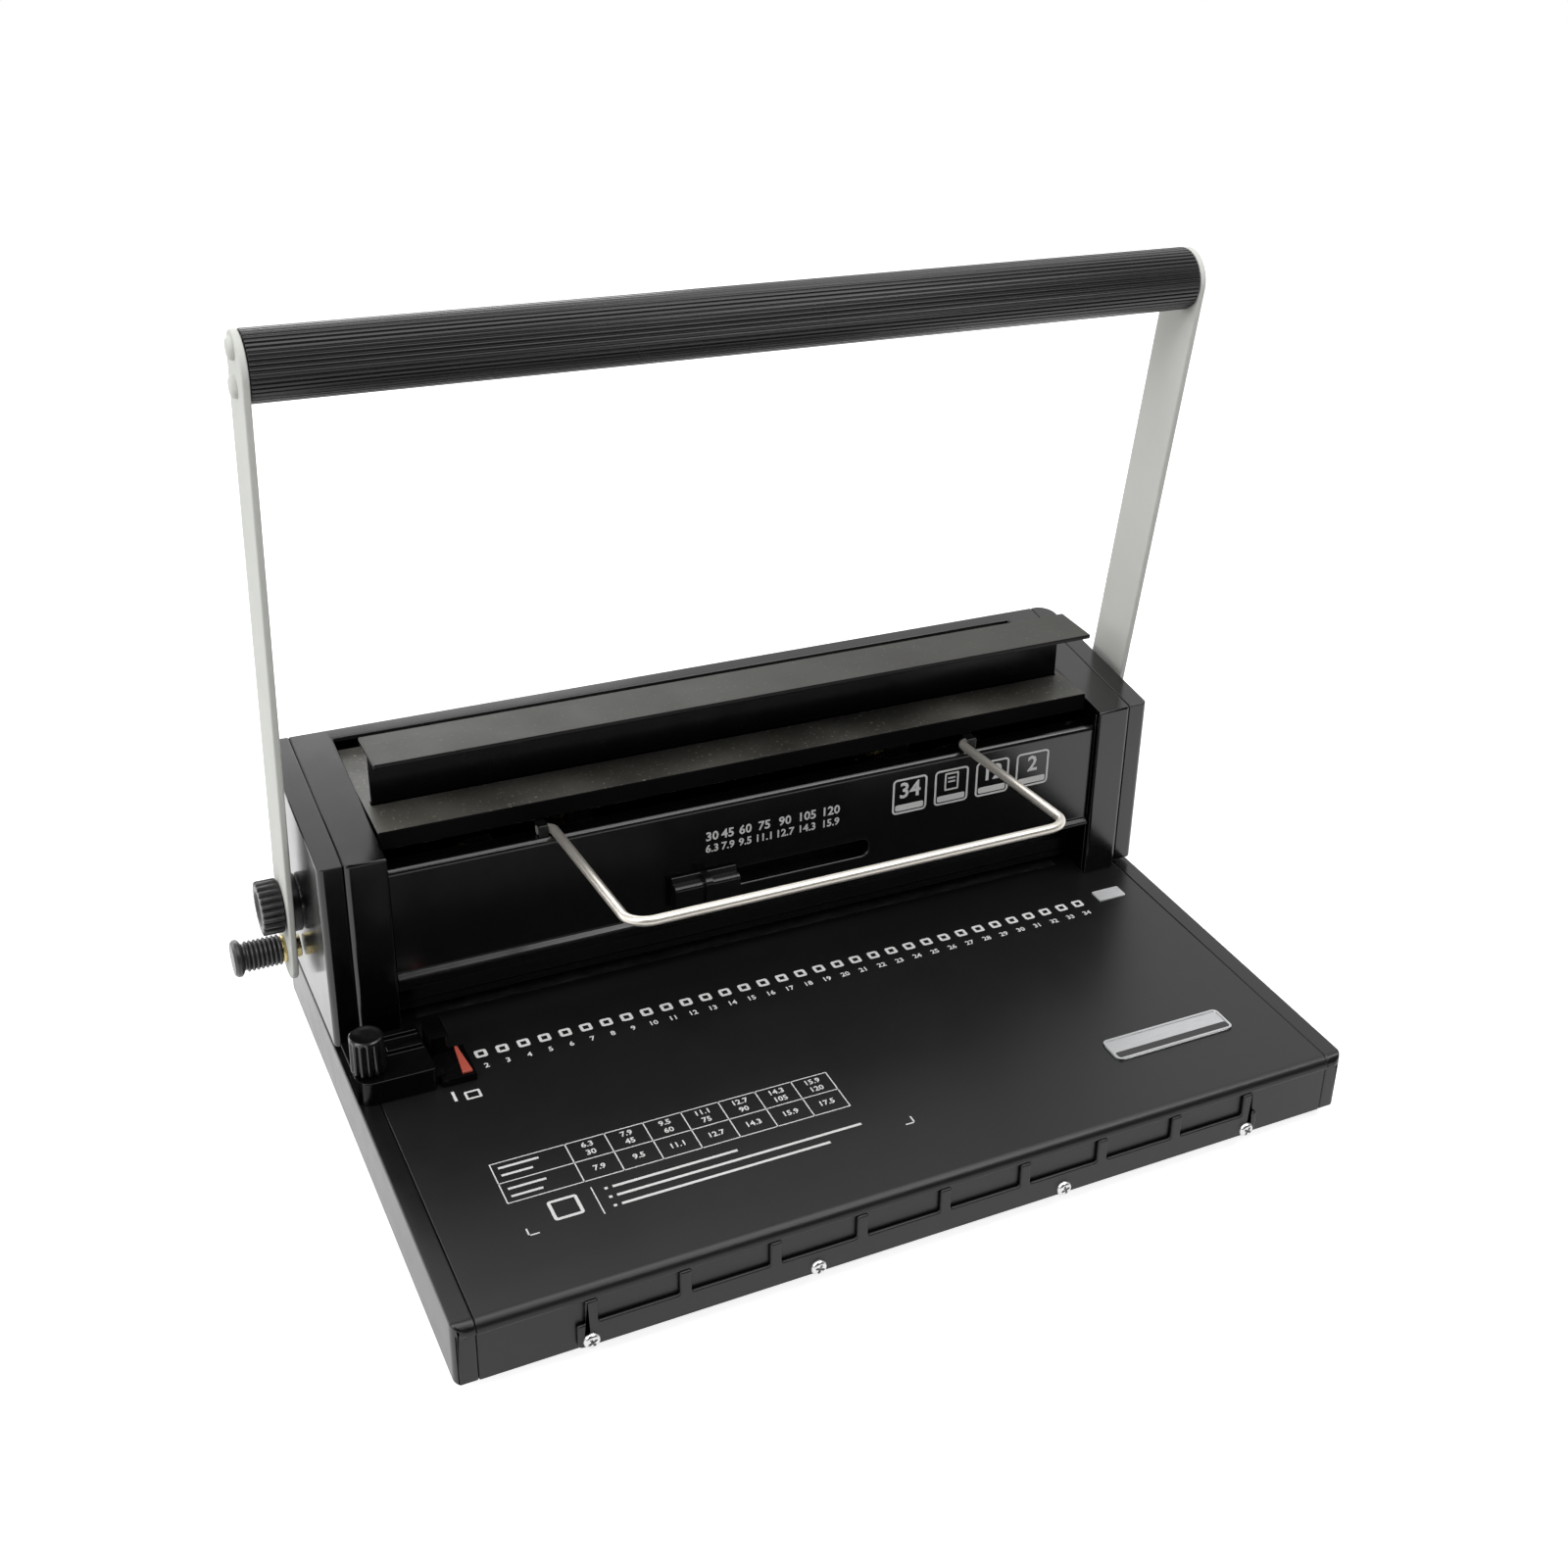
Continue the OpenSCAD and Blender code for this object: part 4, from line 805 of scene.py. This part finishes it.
def add_note(build):
    """Adds the open square, its upright rule and three rows of a dot and a rule."""
    low_y, high_y = NOTE_SQUARE[1], NOTE_SQUARE[3]
    add_border(build, NOTE_SQUARE, NOTE_CORNER, NOTE_LINE, ON_DECK)
    upright = (NOTE_RULE_X, low_y - NOTE_RULE_BELOW, NOTE_RULE_X + TABLE_LINE, high_y + NOTE_RULE_ABOVE)
    add_bar(build, upright, ON_DECK)
    for row, length in enumerate(NOTE_ROWS):
        row_y = high_y - NOTE_DROP - NOTE_STEP * row
        add_bar(build, (NOTE_X, row_y - NOTE_LINE, NOTE_X + NOTE_LINE, row_y), ON_DECK)
        add_bar(build, (NOTE_X + NOTE_INDENT, row_y - NOTE_LINE, NOTE_X + length, row_y), ON_DECK)


def print_table():
    """Ruled table with plain numbers, plain rules in its first column, the note and two corner marks."""
    build = bmesh.new()
    x0, y0, x1, y1 = TABLE
    middle = (y0 + y1) / 2
    first = x0 + TABLE_FIRST
    step = (x1 - first) / TABLE_COLUMNS
    half = TABLE_LINE / 2
    add_border(build, TABLE, TABLE_CORNER, TABLE_LINE, ON_DECK)
    add_bar(build, (x0, middle - half, x1, middle + half), ON_DECK)
    for column in range(TABLE_COLUMNS):
        x = first + column * step
        centre = x + step / 2
        add_bar(build, (x - half, y0, x + half, y1), ON_DECK)
        add_number(build, wire_size(column), centre, y1 - SIZE_DROP, DECK_NUMBER_H, ON_DECK)
        add_number(build, sheet_count(column), centre, y1 - SHEETS_DROP, DECK_NUMBER_H, ON_DECK)
        add_number(build, wire_size(column + 1), centre, (y0 + middle) / 2, DECK_NUMBER_H, ON_DECK)
    for rise in HEADING_RISES:
        row_y = middle + rise
        end = x0 + HEADING_END + HEADING_UNEVEN * math.cos(row_y)
        add_bar(build, (x0 + HEADING_START, row_y, end, row_y + HEADING_LINE), ON_DECK)
    add_note(build)
    for x, side in CORNER_MARKS:
        add_bar(build, (x, CORNER_Y, x + side * CORNER_LEN, CORNER_Y + CORNER_LINE), ON_DECK)
        add_bar(build, (x, CORNER_Y, x + side * CORNER_LINE, CORNER_Y + CORNER_LEN), ON_DECK)
    finish_print(build, "print_table", "base_deck")


# Columns of the slot's scale get further apart to the right
SCALE_X0 = -25.5
SCALE_STEP = 6.5
SCALE_GROWTH = 0.39
SHEETS_ROW_Z = 92.3
SHEETS_NUMBER_H = 4.0
SIZE_ROW_Z = 86.6
SIZE_NUMBER_H = 3.4

# Framed marks: the first one's box, and in each a low label and a number or a sheet's outline
ICON_BOX = (56.4, 83.5, 72.8, 100.5)
ICON_STEP = 20.1
ICON_DIGITS = ("34", "", "12", "2")
ICON_CORNER = 2.0
ICON_LINE = 0.9
LABEL_INSET = 1.5
LABEL_TOP = 4.4
LABEL_CORNER = 0.8
ICON_NUMBER_RISE = 10.8
ICON_NUMBER_H = 7.2
SHEET_HALF = 3.4
SHEET_LOW = 6.6
SHEET_TOP = 15.2
SHEET_CORNER = 0.5
SHEET_LINE = 0.8
SHEET_RULE_HALF = 1.8
SHEET_RULES = (12.2, 10.4)


def print_panel():
    """Two rows of plain numbers over the slot, and four framed marks."""
    build = bmesh.new()
    for column in range(TABLE_COLUMNS):
        x = SCALE_X0 + SCALE_STEP * column + SCALE_GROWTH * column ** 2
        add_number(build, sheet_count(column), x, SHEETS_ROW_Z, SHEETS_NUMBER_H, ON_PANEL)
        add_number(build, wire_size(column), x, SIZE_ROW_Z, SIZE_NUMBER_H, ON_PANEL)
    for icon, digits in enumerate(ICON_DIGITS):
        x0 = ICON_BOX[0] + icon * ICON_STEP
        x1 = ICON_BOX[2] + icon * ICON_STEP
        z0, z1 = ICON_BOX[1], ICON_BOX[3]
        middle = (x0 + x1) / 2
        label = (x0 + LABEL_INSET, z0 + LABEL_INSET, x1 - LABEL_INSET, z0 + LABEL_TOP)
        add_border(build, (x0, z0, x1, z1), ICON_CORNER, ICON_LINE, ON_PANEL)
        add_slab(build, rounded_loop(label, LABEL_CORNER), ON_PANEL)
        if digits:
            add_number(build, digits, middle, z0 + ICON_NUMBER_RISE, ICON_NUMBER_H, ON_PANEL)
            continue
        sheet = (middle - SHEET_HALF, z0 + SHEET_LOW, middle + SHEET_HALF, z0 + SHEET_TOP)
        add_border(build, sheet, SHEET_CORNER, SHEET_LINE, ON_PANEL)
        for rise in SHEET_RULES:
            low_z = z0 + rise
            rule = (middle - SHEET_RULE_HALF, low_z, middle + SHEET_RULE_HALF, low_z + SHEET_LINE)
            add_bar(build, rule, ON_PANEL)
    finish_print(build, "print_panel", "front_panel")


BADGE_EASE = 0.2
BADGE_INSET = 0.3
BADGE_CORNER = 2.2
BADGE_RIM = 1.0
BADGE_RAISE = 0.25
BAND_SHARE = 0.36
BAND_GAP = 0.1
BAND_CORNER = 1.0
MARGIN_PLATE = (150, 10, 163.5, 17.8)
MARGIN_CORNER = 0.8
MARGIN_T = 0.4
MARGIN_RIM = 0.6
MARGIN_RIM_LEVELS = (0.35, 0.5)


def dress_badge():
    """Plain badge: eased plate, raised rim and a dark band; beside the scale, a small bare plate."""
    eased("badge_plate", BADGE_EASE)
    low, high = span("badge_plate")
    top = Matrix.Translation((0, 0, high.z))
    x0, y0 = low.x / MM + BADGE_INSET, low.y / MM + BADGE_INSET
    x1, y1 = high.x / MM - BADGE_INSET, high.y / MM - BADGE_INSET
    rim = bmesh.new()
    add_border(rim, (x0, y0, x1, y1), BADGE_CORNER, BADGE_RIM, top, high=BADGE_RAISE)
    finish_print(rim, "badge_rim", "badge_plate", MATERIALS["badge_metal"])
    inset = BADGE_RIM + BAND_GAP
    band_box = (x0 + inset, y0 + inset, x1 - inset, y0 + (y1 - y0) * BAND_SHARE)
    band = bmesh.new()
    add_slab(band, rounded_loop(band_box, BAND_CORNER), top)
    finish_print(band, "badge_band", "badge_plate", BADGE_BAND)
    rim_low, rim_high = MARGIN_RIM_LEVELS
    plate = bmesh.new()
    add_slab(plate, rounded_loop(MARGIN_PLATE, MARGIN_CORNER), ON_DECK, high=MARGIN_T)
    add_border(plate, MARGIN_PLATE, MARGIN_CORNER, MARGIN_RIM, ON_DECK, low=rim_low, high=rim_high)
    finish_print(plate, "margin_plate", "badge_plate", MARGIN_METAL)


# Width in millimetres of the rounding on each rigid piece that keeps its slot's finish
EASED = {
    "base_deck": 0.5, "left_arm": 0.7, "right_arm": 0.7, "left_arm_collar": 0.6, "right_arm_collar": 0.6,
    "bail_saddles": 0.4, "size_slider": 0.4, "guide_pointer": 0.3, "chip_tray": 0.5, "plunger_bushes": 0.3,
    "rubber_feet": 0.6, "bottom_plate": 0.3,
}
# The same for the pieces in the head's own coat
HEAD_EASED = {
    "left_end_cap": 0.6, "right_end_cap": 0.6, "front_panel": 0.7, "left_side_frame": 0.5,
    "right_side_frame": 0.5,
}
# CAD nodes that show through the head's openings, put in the head's near-black coat as painted shade so the
# throat reads dark
THROAT_SHADE_NODES = ("punch_guide_plate", "paper_stop_bar")


def dress_nodes():
    """Rounded copies for what shows, own pieces for the turned parts, better materials for the rest."""
    for node, width in EASED.items():
        eased(node, width)
    eased("head_cover", 0.8, [HEAD_COAT], cuts=middles("cover_screws"))
    for node, width in HEAD_EASED.items():
        eased(node, width, [HEAD_COAT])
    # Upper jaw: pale top faces as painted sheen, front faces in the duller guide plastic as painted shade
    eased("upper_jaw", 0.5, [HEAD_COAT, JAW_TOP_SHEEN, GUIDE_PLASTIC], faces_apart, middles("jaw_rack_screws"))
    # Shelf: dust on its up-facing faces, its front faces in the dull black as painted shade
    eased("lower_jaw_plate", 0.7, [HEAD_COAT, SHELF_TOP, SHADE_DULL], faces_apart)
    eased("front_trim", 0.8, cuts=middles("trim_screws"))
    # The guide's faces that look left take the dull black as painted shade
    for node in ("guide_block", "guide_stop_bar"):
        eased(node, 0.5, [GUIDE_PLASTIC, SHADE_DULL], left_faces_apart)
    for node in ("left_side_rail", "right_side_rail"):
        eased(node, 0.8, [RAIL_COAT])
    dress_grip()
    for side, outward in (("left", -1), ("right", 1)):
        dress_clamp_knob(side + "_clamp_knob", outward)
        dress_plunger(side + "_plunger", outward)
    dress_thumb_knob()
    dress_screws("trim_screws", 1, -1, 2.2, True)
    dress_screws("cover_screws", 1, 1, 1.6, True)
    dress_screws("grip_screws", 0, 0, 2.0, False)
    dress_springs()
    dress_bail()
    dress_badge()
    print_hole_scale()
    print_table()
    print_panel()
    # Other CAD nodes take their slot's finish; the steel inside the throat takes the head's coat as painted
    # shade
    for node, piece in NODES.items():
        for place in piece.material_slots:
            place.material = HEAD_COAT if node in THROAT_SHADE_NODES else MATERIALS[SLOT_OF[node]]


# Studio

SOFTBOXES = (
    # name, place, aim, size, power
    ("back_softbox", (0.05, 1.6, 0.75), (-0.10, 0.05, 0.12), (0.9, 0.9), 8),
    ("left_softbox", (-5.0, -1.5, 3.6), (0, 0, 0.1), (3.4, 3.4), 175),
    ("top_softbox", (0.0, -0.35, 1.9), (0, 0, 0.1), (2.4, 1.3), 22),
    ("edge_softbox", (0.85, -0.95, 1.55), (0, 0, 0.1), (1.6, 0.35), 8),
    ("side_softbox", (-2.2, 1.9, 0.55), (0, 0, 0.05), (1.6, 0.9), 14),
)
FLOOR_REACH = 2.5
FLOOR_COLOR = (0.62, 0.62, 0.62)
FLOOR_GLOW = 0.78
AMBIENT = 0.45
# How dim the surroundings and the floor are in front, and where along Y that starts and ends
WORLD_FRONT = (0.08, -0.55, 0.05)
FLOOR_FRONT = (0.30, -0.35, 0.10)


def greater(tree, first, second):
    """The greater of two sources."""
    node = tree.nodes.new("ShaderNodeMath")
    node.operation = "MAXIMUM"
    tree.links.new(first, node.inputs[0])
    tree.links.new(second, node.inputs[1])
    return node.outputs["Value"]


def scaled(tree, source, factor):
    """The source times a number or another source."""
    product = tree.nodes.new("ShaderNodeMath")
    product.operation = "MULTIPLY"
    tree.links.new(source, product.inputs[0])
    if isinstance(factor, float):
        product.inputs[1].default_value = factor
    else:
        tree.links.new(factor, product.inputs[1])
    return product.outputs["Value"]


def seen_share(tree):
    """One for camera, mirror and glass rays, zero for the light that falls on things."""
    path = tree.nodes.new("ShaderNodeLightPath")
    share = path.outputs["Is Camera Ray"]
    for kind in ("Is Glossy Ray", "Is Transmission Ray"):
        share = greater(tree, share, path.outputs[kind])
    return share


def front_dimmed(tree, coordinates, front):
    """Level that is low in front, as if the room were dark there, and the same with camera rays at full."""
    lowest, start, end = front
    place = tree.nodes.new("ShaderNodeTexCoord")
    parts = tree.nodes.new("ShaderNodeSeparateXYZ")
    tree.links.new(place.outputs[coordinates], parts.inputs["Vector"])
    level = spread(tree, parts.outputs["Y"], lowest, 1.0, start, end)
    path = tree.nodes.new("ShaderNodeLightPath")
    return level, greater(tree, level, path.outputs["Is Camera Ray"])


def dress_world(scene):
    """White surroundings, dimmer in front."""
    world = bpy.data.worlds.new("studio_world")
    world.use_nodes = True
    scene.world = world
    tree = world.node_tree
    level, seen = front_dimmed(tree, "Generated", WORLD_FRONT)
    dim = tree.nodes["Background"]
    bright = tree.nodes.new("ShaderNodeBackground")
    for background, strength in ((dim, scaled(tree, level, AMBIENT)), (bright, seen)):
        background.inputs["Color"].default_value = (1, 1, 1, 1)
        tree.links.new(strength, background.inputs["Strength"])
    mix = tree.nodes.new("ShaderNodeMixShader")
    tree.links.new(seen_share(tree), mix.inputs["Fac"])
    tree.links.new(dim.outputs["Background"], mix.inputs[1])
    tree.links.new(bright.outputs["Background"], mix.inputs[2])
    tree.links.new(mix.outputs["Shader"], tree.nodes["World Output"].inputs["Surface"])


def dress_floor():
    """Pale floor that keeps the shadow."""
    reach = FLOOR_REACH
    ends = [(-reach, -reach, 0), (reach, -reach, 0), (reach, reach, 0), (-reach, reach, 0)]
    mesh = bpy.data.meshes.new("studio_floor")
    mesh.from_pydata(ends, [], [(0, 1, 2, 3)])
    floor = link("studio_floor", mesh)
    material, tree, shader = new_material("studio_floor", FLOOR_COLOR, 0.8, 0.0, 0.2)
    seen = front_dimmed(tree, "Object", FLOOR_FRONT)[1]
    glow = scaled(tree, scaled(tree, seen_share(tree), FLOOR_GLOW), seen)
    shader.inputs["Emission Color"].default_value = (1, 1, 1, 1)
    tree.links.new(glow, shader.inputs["Emission Strength"])
    mesh.materials.append(material)


def dress_studio():
    """Surroundings, floor and soft light."""
    scene = bpy.context.scene
    scene.view_settings.view_transform = "Standard"
    dress_world(scene)
    dress_floor()
    for name, place, target, size, power in SOFTBOXES:
        data = bpy.data.lights.new(name, "AREA")
        data.shape = "RECTANGLE"
        data.size, data.size_y = size
        data.energy = power
        lamp = bpy.data.objects.new(name, data)
        lamp.location = place
        lamp.rotation_euler = (Vector(target) - Vector(place)).to_track_quat("-Z", "Y").to_euler()
        scene.collection.objects.link(lamp)


place_camera()
dress_studio()
dress_nodes()
